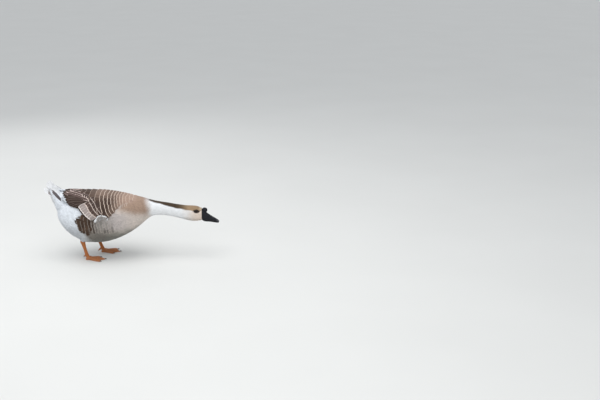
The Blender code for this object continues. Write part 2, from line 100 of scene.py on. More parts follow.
# %% Shorthand for materials
class Number:
    """A value in a node tree. Sums on it add Math nodes."""

    def __init__(self, finish, socket):
        self.finish, self.socket = finish, socket

    def __add__(self, other):
        return self.finish.sum("ADD", self, other)

    def __sub__(self, other):
        return self.finish.sum("SUBTRACT", self, other)

    def __rsub__(self, other):
        return self.finish.sum("SUBTRACT", other, self)

    def __mul__(self, other):
        return self.finish.sum("MULTIPLY", self, other)

    __radd__, __rmul__ = __add__, __mul__


class Finish:
    """One material on a Principled shader."""

    def __init__(self, name, colour, roughness, **uniform):
        self.material = bpy.data.materials.new(name)
        self.material.use_nodes = True
        self.tree = self.material.node_tree
        self.shader = self.tree.nodes["Principled BSDF"]
        self.shader.inputs["Base Color"].default_value = (*colour, 1)
        self.shader.inputs["Roughness"].default_value = roughness
        for socket, value in uniform.items():
            title = socket.replace("_", " ").title().replace("Ior", "IOR")
            self.shader.inputs[title].default_value = value
        self.material.diffuse_color = (*colour, 1)

    def feed(self, socket, value):
        """Links a value into a socket, or sets it."""
        if isinstance(value, Number):
            self.tree.links.new(value.socket, socket)
        elif isinstance(value, bpy.types.NodeSocket):
            self.tree.links.new(value, socket)
        elif isinstance(value, tuple) and len(value) == 3 and socket.type == "RGBA":
            socket.default_value = (*value, 1)
        else:
            socket.default_value = value

    def add(self, kind, inputs=None, **settings):
        """A new node: its settings first, then its inputs."""
        node = self.tree.nodes.new("ShaderNode" + kind)
        for name, value in settings.items():
            setattr(node, name, value)
        for name, value in (inputs or {}).items():
            self.feed(node.inputs[name], value)
        return node

    def sum(self, operation, first, second=0.0):
        return self.number(self.add("Math", {0: first, 1: second}, operation=operation))

    def number(self, node, output=0):
        return Number(self, node.outputs[output])

    def rise(self, value, low, high):
        """0 below low and 1 above high, with a smooth step between them."""
        inputs = {"Value": value, "From Min": low, "From Max": high}
        return self.number(self.add("MapRange", inputs, interpolation_type="SMOOTHSTEP"))

    def mix(self, share, first, second, blend="MIX"):
        """A mixture of two colours."""
        node = self.add("Mix", data_type="RGBA", blend_type=blend)
        for index, value in zip((0, 6, 7), (share, first, second)):
            self.feed(node.inputs[index], value)
        return node.outputs[2]

    def place(self):
        return self.add("TexCoord").outputs["Object"]

    def noise(self, scale, detail=3.0, place=None, stretch=None, output=0):
        """Clouds of that many waves to the metre, on the piece's own coordinates."""
        vector = place or self.place()
        if stretch:
            vector = self.add("Mapping", {"Vector": vector, "Scale": stretch}).outputs[0]
        inputs = {"Vector": vector, "Scale": scale, "Detail": detail}
        return self.number(self.add("TexNoise", inputs), output)

    def bump(self, height, distance, strength=1.0):
        inputs = {"Height": height, "Distance": distance, "Strength": strength}
        self.feed(self.shader.inputs["Normal"], self.add("Bump", inputs).outputs[0])

    def set(self, socket, value):
        self.feed(self.shader.inputs[socket], value)

# %% [markdown]
# ## Floor
# The goose stands on a plain pale sheet, which reaches so far that its edge is out of sight.

# %% Floor
bpy.ops.object.select_all(action="DESELECT")
bpy.ops.mesh.primitive_grid_add(x_subdivisions=4, y_subdivisions=4, size=80, location=(0, 10, 0))
floor = bpy.context.object
floor.name = "floor"
paper = Finish("pale_floor", (0.66, 0.66, 0.64), 0.9)
paper.set("Base Color", paper.mix(paper.noise(1.5), (0.64, 0.64, 0.62), (0.68, 0.68, 0.66)))
floor.data.materials.append(paper.material)
print("floor", floor.dimensions[0], "metres wide")

# %% [markdown]
# ## The form of the goose
# On the real bird one skin runs from the bill to the tail. The solids part it into lengths, so their
# copies are swollen until they touch, joined, and turned into one even mesh by a voxel remesh. A
# saddle, arched along and across, fills the groove between the folded wings, where the long shoulder
# feathers lie on the real bird. The result is the outside of the coat, and isn't shown in this place.
# It is smoothed most on the body, and least on the head.


# %% Copies of solids
def copy_of(name, *nodes, swell=0.0):
    """One object with merged copies of some solids, pushed out by swell."""
    copies = []
    for node in nodes:
        twin = bpy.data.objects.new(name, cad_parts[node].data.copy())
        scene.collection.objects.link(twin)
        only(twin)
        bpy.ops.object.mode_set(mode="EDIT")
        bpy.ops.mesh.select_all(action="SELECT")
        bpy.ops.mesh.remove_doubles(threshold=1e-5)
        bpy.ops.object.mode_set(mode="OBJECT")
        twin.data.materials.clear()
        if swell:
            apply(twin, "DISPLACE", strength=swell, mid_level=0.0)
        copies.append(twin)
    only(*copies)
    if len(copies) > 1:
        bpy.ops.object.join()
    copies[0].name = name
    return copies[0]


def apply(thing, kind, **settings):
    """Adds a modifier and applies it."""
    only(thing)
    modifier = thing.modifiers.new(kind.lower(), kind)
    for setting, value in settings.items():
        setattr(modifier, setting, value)
    bpy.ops.object.modifier_apply(modifier=modifier.name)


def keep_largest(thing):
    """Removes the small closed bubbles that a remesh can leave inside."""
    only(thing)
    bpy.ops.object.mode_set(mode="EDIT")
    bpy.ops.mesh.select_all(action="SELECT")
    bpy.ops.mesh.separate(type="LOOSE")
    bpy.ops.object.mode_set(mode="OBJECT")
    parts = sorted(bpy.context.selected_objects, key=lambda part: -len(part.data.vertices))
    for part in parts[1:]:
        bpy.data.objects.remove(part, do_unlink=True)
    return parts[0]


def arrays(mesh):
    """A mesh's points and its vertex normals as arrays."""
    points = np.empty(len(mesh.vertices) * 3)
    normals = np.empty(len(mesh.vertices) * 3)
    mesh.vertices.foreach_get("co", points)
    mesh.vertices.foreach_get("normal", normals)
    return points.reshape(-1, 3), normals.reshape(-1, 3)


def put_points(mesh, points):
    mesh.vertices.foreach_set("co", np.ascontiguousarray(points, np.float32).ravel())
    mesh.update()


FLESH = ["trunk", "neck_base", "neck_middle", "neck_upper", "head", "tail_coverts"]
FLESH += [part + side for part in ("wing", "wing_tip", "thigh") for side in ("_left", "_right")]


# %% The form
SADDLE_LINE = ((-0.359, 0.330), (-0.348, 0.3385), (-0.335, 0.3445), (-0.31, 0.3490), (-0.20, 0.3490),
               (-0.14, 0.3465), (-0.085, 0.3370), (-0.035, 0.3260))  # places and heights of its top
form = copy_of("form", *FLESH, "eye_left", "eye_right", swell=0.0006)
bpy.ops.object.select_all(action="DESELECT")
bpy.ops.mesh.primitive_cube_add(size=1.0, location=(-0.197, 0, 0.32), scale=(0.324, 0.09, 0.04))
saddle = bpy.context.object
bpy.ops.object.transform_apply(location=True, scale=True)
bpy.ops.object.mode_set(mode="EDIT")
bpy.ops.mesh.select_all(action="SELECT")
bpy.ops.mesh.subdivide(number_cuts=15)
bpy.ops.object.mode_set(mode="OBJECT")
points, _ = arrays(saddle.data)
crown_z = np.interp(points[:, 0], *zip(*SADDLE_LINE))
crown_z -= 0.004 * (points[:, 1] / 0.045) ** 2
points[:, 2] = np.where(points[:, 2] > 0.335, crown_z, points[:, 2] - 0.01)
put_points(saddle.data, points)
only(form, saddle)
bpy.ops.object.join()
apply(form, "REMESH", mode="VOXEL", voxel_size=0.0028, use_smooth_shade=True)
form = keep_largest(form)
points, _ = arrays(form.data)
HEAD_START = 0.27
body_part = form.vertex_groups.new(name="body")
body_part.add(np.flatnonzero(points[:, 0] < HEAD_START).tolist(), 1.0, "REPLACE")
apply(form, "SMOOTH", factor=0.5, iterations=9, vertex_group="body")
apply(form, "SMOOTH", factor=0.5, iterations=3)
print("form", len(form.data.vertices), "points")

# %% [markdown]
# ## Finding places on the form
# Every feather is laid along the form: it needs the nearest place on it, the way the surface faces
# there, and the same place on the flat unwrap of the skin. A BVH tree finds the triangle, and the
# triangle's three corners are blended for the rest.


# %% Nearest places
def unit(vectors):
    return vectors / np.maximum(np.linalg.norm(vectors, axis=-1, keepdims=True), 1e-12)


def across(vectors, normals):
    """The share of some vectors that lies along the surface, at length one."""
    return unit(vectors - normals * np.sum(vectors * normals, axis=-1, keepdims=True))


class Surface:
    """A mesh as arrays, with a search tree."""

    def __init__(self, mesh, unwrap):
        self.points, self.normals = arrays(mesh)
        mesh.calc_loop_triangles()
        corners, loops = (np.empty(len(mesh.loop_triangles) * 3, np.int64) for _ in range(2))
        mesh.loop_triangles.foreach_get("vertices", corners)
        mesh.loop_triangles.foreach_get("loops", loops)
        self.corners, self.loops = corners.reshape(-1, 3), loops.reshape(-1, 3)
        flat = np.empty(len(mesh.loops) * 2)
        mesh.uv_layers[unwrap].data.foreach_get("uv", flat)
        self.flat = flat.reshape(-1, 2)
        self.tree = BVHTree.FromPolygons(self.points.tolist(), self.corners.tolist())

    def nearest(self, places):
        """The nearest points, their normals and their places on the unwrap."""
        found = [self.tree.find_nearest(place) for place in places.tolist()]
        hits = np.array([hit[0] for hit in found])
        triangle = np.array([hit[2] for hit in found])
        a, b, c = (self.points[self.corners[triangle, k]] for k in range(3))
        whole = np.linalg.norm(np.cross(b - a, c - a), axis=1) + 1e-15
        shares = [np.linalg.norm(np.cross(p - hits, q - hits), axis=1) / whole
                  for p, q in ((b, c), (c, a), (a, b))]
        weights = np.stack(shares, 1)[:, :, None]
        normal = unit((self.normals[self.corners[triangle]] * weights).sum(1))
        return hits, normal, (self.flat[self.loops[triangle]] * weights).sum(1)


only(form)
bpy.ops.object.mode_set(mode="EDIT")
bpy.ops.mesh.select_all(action="SELECT")
bpy.ops.uv.smart_project(angle_limit=math.radians(75), island_margin=0.002)
bpy.ops.object.mode_set(mode="OBJECT")
form.data.uv_layers[0].name = "OFBake"
surface = Surface(form.data, "OFBake")
print("form", len(surface.corners), "triangles")

# %% [markdown]
# ## Markings
# The skin and the coat share one description of their colours: a white neck under a dark stripe, a buff
# shoulder and breast, a dark back and wings, a dark patch on the flank, and a white rump, with painted
# shade on the belly, low on the body, under the throat and round the eyes. Each marking is a smooth
# function of the place on the body, the same on both sides, and its edge wavers a little, because real
# feathers never end on a ruled line. An edge is a line through a few points, which gives the height of
# a marking at each place along the bird, or its place at each height.

# %% Colours and curves
WHITE = np.array((0.80, 0.81, 0.82))
BREAST = np.array((0.60, 0.53, 0.48))
SIDE = np.array((0.48, 0.43, 0.41))
# The belly's pale grey, darkened with painted shade.
BELLY_AND_SHADE = np.array((0.262, 0.254, 0.222))
BUFF = np.array((0.328, 0.230, 0.172))
STRIPE = np.array((0.055, 0.036, 0.022))
CROWN = np.array((0.32, 0.222, 0.135))
CHEEK = np.array((0.73, 0.62, 0.53))
BACK = np.array((0.060, 0.038, 0.029))
WING = np.array((0.060, 0.040, 0.034))
QUILL = np.array((0.044, 0.028, 0.023))
FLANK = np.array((0.062, 0.038, 0.026))
ASH = np.array((0.19, 0.170, 0.148))
BLAZE = np.array((0.56, 0.46, 0.34))
BILL_SKIN = np.array((0.013, 0.014, 0.018))
EYE_RING_AND_SHADE = np.array((0.030, 0.019, 0.013))
EYE = np.array((0.3205, 0.0168, 0.2440))  # the middle of the left eyeball


def ease(low, high, value):
    """0 at low and 1 at high, with a smooth step between them."""
    share = np.clip((value - low) / (high - low), 0, 1)
    return share * share * (3 - 2 * share)


def along(value, *stops):
    """A line through (place, height) stops."""
    places, heights = zip(*sorted(stops))
    return np.interp(value, places, heights)


def waver(p, size, seed=0.0):
    """A slow wave of about -1 to 1 that changes over size metres."""
    k = math.tau / size
    return (np.sin(k * p[:, 0] + 1.3 * np.sin(0.7 * k * p[:, 2] + seed))
            + np.sin(0.83 * k * p[:, 2] + 1.7 * np.sin(0.6 * k * p[:, 0] + 2 + seed))) / 2


# %% Edges of the markings
def wing_edge(x):
    """The height of the folded wing's lower edge."""
    return along(x, (-0.3675, 0.340), (-0.3595, 0.333), (-0.3395, 0.318), (-0.3215, 0.2985),
                 (-0.3060, 0.2868), (-0.2715, 0.2890), (-0.2495, 0.272), (-0.2175, 0.234), (-0.1875, 0.220),
                 (-0.1545, 0.226), (-0.1215, 0.243), (-0.0775, 0.277), (-0.0405, 0.302),
                 (-0.0095, 0.322), (0.02, 0.345))


def back_edge(x):
    """The height where the barred back ends and the wing coverts begin."""
    return along(x, (-0.246, 0.338), (-0.218, 0.329), (-0.200, 0.307), (-0.178, 0.275),
                 (-0.160, 0.2585), (-0.143, 0.250), (-0.113, 0.250), (-0.091, 0.256),
                 (-0.058, 0.285), (-0.041, 0.293), (-0.017, 0.300), (0.005, 0.315), (0.02, 0.34))


def tip_line(z):
    """How far back the long dark wing feathers reach at each height."""
    return along(z, (0.280, -0.272), (0.287, -0.300), (0.2925, -0.3135), (0.303, -0.3225),
                 (0.316, -0.330), (0.327, -0.337), (0.337, -0.3435), (0.3455, -0.3500))


def flank_patch(p):
    """1 inside the dark patch behind and below the wing, fading forwards."""
    x, z = p[:, 0], p[:, 2]
    top = along(x, (-0.284, 0.222), (-0.247, 0.246), (-0.20, 0.29))
    rear = along(z, (0.145, -0.243), (0.155, -0.254), (0.199, -0.270), (0.219, -0.284), (0.24, -0.28))
    inside = ease(rear - 0.003, rear + 0.006, x) * ease(0.146, 0.157, z + 0.06 * (x + 0.22))
    inside *= ease(top + 0.004, top - 0.004, z) * (p[:, 1] ** 2 > 0.06 ** 2)
    return inside * ease(-0.180, -0.220, x)


# %% Colours of the body and the wings
def paint(under, colour, share):
    """Lays a colour over others, by a share for each place."""
    return under + (colour - under) * np.clip(share, 0, 1)[:, None]


def body_colours(x, z, wave):
    """Breast, belly with painted shade, side and nape, and the white of the lower neck and the rump."""
    tone = paint(np.tile(BREAST, (len(x), 1)), BELLY_AND_SHADE, ease(0.196, 0.126, z + 0.008 * wave))
    tone = paint(tone, SIDE, ease(0.02, -0.06, x) * ease(0.15, 0.18, z) * ease(0.27, 0.24, z))
    nape = along(x, (-0.10, 0.285), (-0.05, 0.270), (-0.02, 0.262), (0.02, 0.247), (0.07, 0.238))
    tone = paint(tone, BUFF, ease(nape - 0.024, nape + 0.022, z))
    grey = ease(-0.26, -0.20, x) * ease(-0.05, -0.16, x) * ease(0.10, 0.13, z)
    ashy = ASH + 0.10 * ease(0.155, 0.20, z)[:, None]
    tone = paint(tone, ashy, 0.85 * grey)
    neck = along(z, (0.21, 0.084), (0.258, 0.084), (0.30, 0.072))
    tone = paint(tone, WHITE, ease(neck - 0.018, neck + 0.022, x + 0.004 * wave))
    rump = along(z, (0.10, -0.215), (0.15, -0.236), (0.155, -0.254), (0.199, -0.270),
                 (0.219, -0.284), (0.231, -0.222), (0.30, -0.200), (0.35, -0.200))
    soft = along(z, (0.12, 0.030), (0.16, 0.006), (0.30, 0.004))
    return paint(tone, WHITE, ease(rump + soft, rump - soft, x))


def wing_colours(tone, p):
    """The dark patch on the flank, the dark back, and the folded wings."""
    x, y, z = p[:, 0], np.abs(p[:, 1]), p[:, 2]
    tone = paint(tone, FLANK, flank_patch(p))
    back = (ease(-0.055, -0.125, x + 0.5 * (z - 0.30))
            * ease(-0.008, 0.003, z - back_edge(x)) * (x > tip_line(z)))
    tone = paint(tone, BACK, 0.92 * back)
    wing = (ease(-0.004, 0.003, z - wing_edge(x)) * ease(0.004, -0.003, z - back_edge(x))
            * ease(-0.085, -0.11, x) * (y > 0.02))
    return paint(tone, WING, wing * (x > tip_line(z)))


# %% Colours of the neck and the head
def head_colours(tone, x, z, wave):
    """The stripe that widens to a brown hood, the pale cheek, the dark at the bill's root, and a dark ring
    round the eye, partly dark lids and partly painted shade.
    """
    stripe = along(x, (0.060, 0.320), (0.081, 0.3010), (0.109, 0.2915), (0.141, 0.2832), (0.173, 0.2750),
                   (0.205, 0.2668), (0.227, 0.2612), (0.250, 0.2575), (0.275, 0.2520), (0.297, 0.2500))
    band = ease(-0.0025, 0.0025, z - stripe + 0.0012 * wave) * ease(0.066, 0.084, x)
    hood = STRIPE + (CROWN - STRIPE) * ease(0.215, 0.305, x + 0.004 * wave)[:, None]
    tone = paint(tone, hood, band * ease(0.318, 0.280, x))
    face = along(x, (0.250, 0.2575), (0.275, 0.2520), (0.297, 0.2490), (0.313, 0.2440), (0.326, 0.2400),
                 (0.338, 0.2420), (0.352, 0.2500))
    tone = paint(tone, CHEEK, ease(0.235, 0.335, x + 0.006 * wave) * ease(face + 0.002, face - 0.003, z))
    cap = ease(face - 0.002, face + 0.003, z) * ease(0.262, 0.292, x)
    tone = paint(tone, CROWN, cap)
    blaze = cap * ease(0.331, 0.343, x) * ease(0.247, 0.254, z)
    tone = paint(tone, BLAZE, 0.75 * blaze)
    tone = paint(tone, BILL_SKIN, ease(0.3500, 0.3515, x))
    # Painted shade: the dark ring round each eye stands partly for the dark lids and partly for shade round
    # the eye.
    a, b = x - EYE[0] - 0.0030, z - EYE[2] - 0.0008
    corner = np.abs((a - 0.12 * b) / 0.0190) ** 1.5 + np.abs((b + 0.12 * a) / 0.0112) ** 1.5
    return paint(tone, EYE_RING_AND_SHADE, 0.98 * ease(1.0, 0.65, corner))


def plumage_and_shade(p):
    """The colour of the coat at each place, darkened with painted shade low on the body and under the
    throat; low down this also stands for a little soiling.
    """
    x, z = p[:, 0], p[:, 2]
    wave = waver(p, 0.05)
    tone = head_colours(wing_colours(body_colours(x, z, wave), p), x, z, wave)
    # Painted shade: darker low on the body, reaching higher at the rear, and under the throat.
    shade = ease(0.180, 0.095, z - 0.045 * ease(-0.20, -0.26, x)) * ease(0.16, 0.05, x)
    throat = along(x, (0.08, 0.205), (0.12, 0.214), (0.20, 0.214), (0.30, 0.203), (0.36, 0.198))
    shade = shade + 0.55 * ease(throat + 0.016, throat - 0.004, z) * ease(0.09, 0.14, x)
    cool = ease(-0.20, -0.28, x)[:, None] * np.array((0.10, 0.07, 0.03))
    return tone * (1 - 0.36 * shade)[:, None] * (1 - cool)


# %% [markdown]
# ## Skin
# The skin is the form moved inwards by the depth of the coat there: a millimetre on the face, three
# and a half on the body. It stands for all the solids of flesh, and shows only between feathers, so
# its finish is a fine down in the coat's colours, painted shade included. Round each eye it dips under
# the lids.


# %% Skin
def coat_depth(p):
    """How thick the coat is."""
    return along(p[:, 0], (-0.40, 0.0020), (-0.35, 0.0030), (-0.10, 0.0035), (0.02, 0.0033),
                 (0.10, 0.0025), (0.26, 0.0017), (0.30, 0.0012), (0.36, 0.0009))


def keep_off_eyes(p, reach=0.0070, depth=0.0060):
    """Moves places near an eye's opening into the eyeball, where they can't be seen."""
    for side in (-1, 1):
        centre = EYE * (1, side, 1)
        away = p - centre
        beside = np.linalg.norm(away[:, [0, 2]], axis=1)
        near = (beside < reach) & (away[:, 1] * side > 0)
        p[near] = centre + unit(away[near]) * depth
    return p


def paint_points(mesh, name, colours):
    """Keeps a colour, or up to four numbers, for each point of a mesh."""
    layer = mesh.attributes.new(name, "FLOAT_COLOR", "POINT")
    rgba = np.ones((len(colours), 4), np.float32)
    rgba[:, :colours.shape[1]] = colours
    layer.data.foreach_set("color", rgba.ravel())


skin = form
skin.name = skin.data.name = "skin"
skin.vertex_groups.clear()
inner = surface.points - surface.normals * coat_depth(surface.points)[:, None]
put_points(skin.data, keep_off_eyes(inner))
paint_points(skin.data, "plume", plumage_and_shade(surface.points))
down = Finish("down", (0.5, 0.45, 0.4), 0.9)
fluff = down.noise(900, 4, stretch=(0.35, 1, 1))
plume = down.add("Attribute", attribute_name="plume").outputs["Color"]
down.set("Base Color", down.mix(fluff * 0.5, plume, (0.62, 0.60, 0.58), "MULTIPLY"))
down.bump(fluff, 0.0006, 0.6)
skin.data.materials.append(down.material)
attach(skin, "root")
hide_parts(*FLESH)
print("skin covers", len(FLESH), "solids")

# %% [markdown]
# ## One feather
# A contour feather is a thin vane, a little domed across, with its quill buried in the skin and only
# its tip in the open. It is modelled once from a grid: each row takes the feather's width there, the
# middle is raised, and the rows near the tip are bowed. The two long sides are bridged underneath, and
# the ends are filled and cut into triangles, because a bent cap with many corners would turn some of
# them inside out. So the vane is a closed solid, with 20 triangles for a hair-like feather of the
# head and 266 for the longest quill. Its outline is a few widths from the root to the tip.


# %% The vane
class Vane:
    """A feather to copy: 2 wide and 1 long, from its root at the origin along +Y."""

    def __init__(self, columns, rows, outline, bow, dome):
        thing, points = self.closed_grid(columns, rows)
        self.row = np.rint((points[:, 1] + 1) / 2 * rows).astype(int)
        share = np.arange(rows + 1) / rows
        self.rows = 1 - (1 - share) ** 1.25
        self.u, self.v = points[:, 0].copy(), self.rows[self.row]
        half = along(self.v, *outline)
        tip = np.clip((self.v - 0.55) / 0.45, 0, 1) ** 2
        self.x = self.u * half
        self.y = -bow * tip * self.u ** 2
        self.z = dome * half * (1 - self.u ** 2)
        self.is_rim = (np.abs(self.u) > 0.99) | (self.row == rows)
        put_points(thing.data, np.stack([self.x, self.v + self.y, self.z + 1.0], 1))
        bpy.ops.object.mode_set(mode="EDIT")
        bpy.ops.mesh.select_all(action="SELECT")
        bpy.ops.mesh.normals_make_consistent(inside=False)
        bpy.ops.object.mode_set(mode="OBJECT")
        self.starts = np.array([face.loop_start for face in thing.data.polygons])
        column = np.rint((self.u + 1) / 2 * columns).astype(int)
        self.is_top = np.concatenate([np.full(face.loop_total, np.ptp(column[list(face.vertices)]) == 1
                                              and np.ptp(self.row[list(face.vertices)]) == 1)
                                      for face in thing.data.polygons])
        self.loops = np.array([loop.vertex_index for loop in thing.data.loops])
        self.faces = len(self.loops) - 2 * len(self.starts)
        bpy.data.objects.remove(thing, do_unlink=True)
        print("vane", len(self.u), "points", self.faces, "triangles")

    def closed_grid(self, columns, rows):
        """A grid whose long sides are joined underneath and whose ends are closed by triangles."""
        bpy.ops.object.select_all(action="DESELECT")
        bpy.ops.mesh.primitive_grid_add(x_subdivisions=columns, y_subdivisions=rows, size=2.0)
        thing = bpy.context.object
        bpy.ops.object.mode_set(mode="EDIT")
        bpy.ops.mesh.select_all(action="DESELECT")
        bpy.ops.mesh.select_mode(type="EDGE")
        bpy.ops.object.mode_set(mode="OBJECT")
        points, _ = arrays(thing.data)
        for edge in thing.data.edges:
            first, second = (points[v] for v in edge.vertices)
            edge.select = bool(abs(first[0]) > 0.999 and abs(first[0] - second[0]) < 1e-6)
        bpy.ops.object.mode_set(mode="EDIT")
        bpy.ops.mesh.bridge_edge_loops()
        bpy.ops.mesh.select_all(action="DESELECT")
        bpy.ops.mesh.select_non_manifold()
        bpy.ops.mesh.fill_holes(sides=0)
        bpy.ops.mesh.select_mode(type="FACE")
        bpy.ops.mesh.select_face_by_sides(number=4, type="GREATER", extend=False)
        bpy.ops.mesh.quads_convert_to_tris()
        bpy.ops.mesh.select_mode(type="EDGE")
        bpy.ops.object.mode_set(mode="OBJECT")
        return thing, points


# %% Five kinds of feather
ROUND = ((0, 0.34), (0.3, 0.80), (0.6, 1.0), (0.8, 0.93), (0.93, 0.66), (1, 0.36))
SQUARE = ((0, 0.34), (0.3, 0.85), (0.6, 1.0), (0.88, 1.0), (0.96, 0.94), (1, 0.84))
POINTED = ((0, 0.38), (0.3, 0.85), (0.55, 1.0), (0.75, 0.82), (0.9, 0.46), (1, 0.12))
LONG = ((0, 0.35), (0.2, 0.75), (0.5, 1.0), (0.8, 0.92), (0.93, 0.62), (1, 0.16))
soft_vane = Vane(4, 5, ROUND, bow=0.06, dome=0.07)
hair_vane = Vane(2, 3, POINTED, bow=0.0, dome=0.22)
neck_vane = Vane(2, 4, POINTED, bow=0.0, dome=0.20)
bar_vane = Vane(8, 8, SQUARE, bow=0.045, dome=0.08)
long_vane = Vane(8, 14, LONG, bow=0.02, dome=0.10)

# %% [markdown]
# ## Laying feathers
# `Coat.lay` copies a vane many times. Each quill is walked along the form in short steps: at every
# row it turns to lie along the surface, but a stiff feather may only bend a little at each step, so
# at a sharp edge, such as the tip of the wing, it carries straight on. The root starts on the skin
# and the tip ends at the outside of the coat, which makes each feather cover those behind it. The
# coat lies backwards all over the bird. It turns down towards the legs and up along the tail, hangs
# down under the wing tips, and flows round the eyes as a stream flows round a stone, so that hardly
# a feather crosses the lids.


# %% The lie of the coat
HOCKS = np.array(((-0.2585, -0.062, 0.104), (-0.2135, 0.062, 0.104)))  # right and left, where the
HEELS = np.array(((-0.2365, -0.062, 0.020), (-0.1815, 0.062, 0.020)))  # leg is bare, and its foot
TAIL_ROOT = np.array((-0.3605, 0.0, 0.2964))
TAIL_RISE = math.radians(52)
TAIL_AXIS = np.array((-math.cos(TAIL_RISE), 0, math.sin(TAIL_RISE)))
TAIL_UP = np.array((math.sin(TAIL_RISE), 0, math.cos(TAIL_RISE)))


def lie(p, normals):
    """The way the coat lies: from the bill back to the tail, down the legs and round the eyes."""
    way = np.tile(np.array((-1.0, 0, 0)), (len(p), 1))
    low = ease(0.16, 0.10, p[:, 2]) * ease(-0.05, -0.12, p[:, 0]) * ease(-0.34, -0.30, p[:, 0])
    way[:, 2] -= 0.30 * low
    way[:, 2] -= 0.25 * ease(-0.02, -0.08, p[:, 0]) * ease(-0.30, -0.2, p[:, 0]) * (p[:, 2] > 0.2)
    for hock in HOCKS:
        to_leg = hock + (0, 0, -0.018) - p
        reach = np.linalg.norm(p - hock, axis=1)
        pull = ease(0.042, 0.016, reach)[:, None]
        way = way * (1 - pull) + unit(unit(to_leg) + (0, 0, -0.9)) * pull
    rise = ease(-0.27, -0.35, p[:, 0])[:, None]
    way = way * (1 - rise) + TAIL_AXIS * rise
    under_tips = ease(-0.30, -0.65, normals[:, 0]) * ease(0.318, 0.326, p[:, 2])
    drop = under_tips * ease(-0.364, -0.358, p[:, 0])
    drop = (drop * ease(-0.325, -0.335, p[:, 0]))[:, None]
    way = way * (1 - drop) + np.array((-0.35, 0, -0.94)) * drop
    away = (p - EYE) * (1, 0, 1)
    gap = np.linalg.norm(away, axis=1)[:, None]
    out = unit(away)
    forward = -(way * out).sum(1)[:, None]
    way = way + np.minimum(0.0070 / gap, 1) ** 2 * (way + 2 * forward * out)
    way += out * 1.5 * ease(0.1, 0.8, forward) * np.exp(-((gap - 0.0066) / 0.0040) ** 2)
    return across(way, normals)


def turned(ways, towards, most):
    """Ways turned towards others, by no more than an angle."""
    angle = np.arccos(np.clip((ways * towards).sum(1), -1, 1))
    share = np.minimum(1, most / np.maximum(angle, 1e-6))
    start, end = np.sin((1 - share) * angle), np.sin(share * angle)
    whole = np.where(angle < 1e-4, 1, np.sin(np.maximum(angle, 1e-6)))
    mixed = (ways * start[:, None] + towards * end[:, None]) / whole[:, None]
    return np.where(angle[:, None] < 1e-4, towards, unit(mixed))


# %% Laying
def each(value, count):
    """One number for each feather."""
    return np.broadcast_to(np.asarray(value, float), (count,)).copy()


def each3(colour, count):
    """One colour for each feather."""
    return np.broadcast_to(np.asarray(colour, float), (count, 3)).copy()


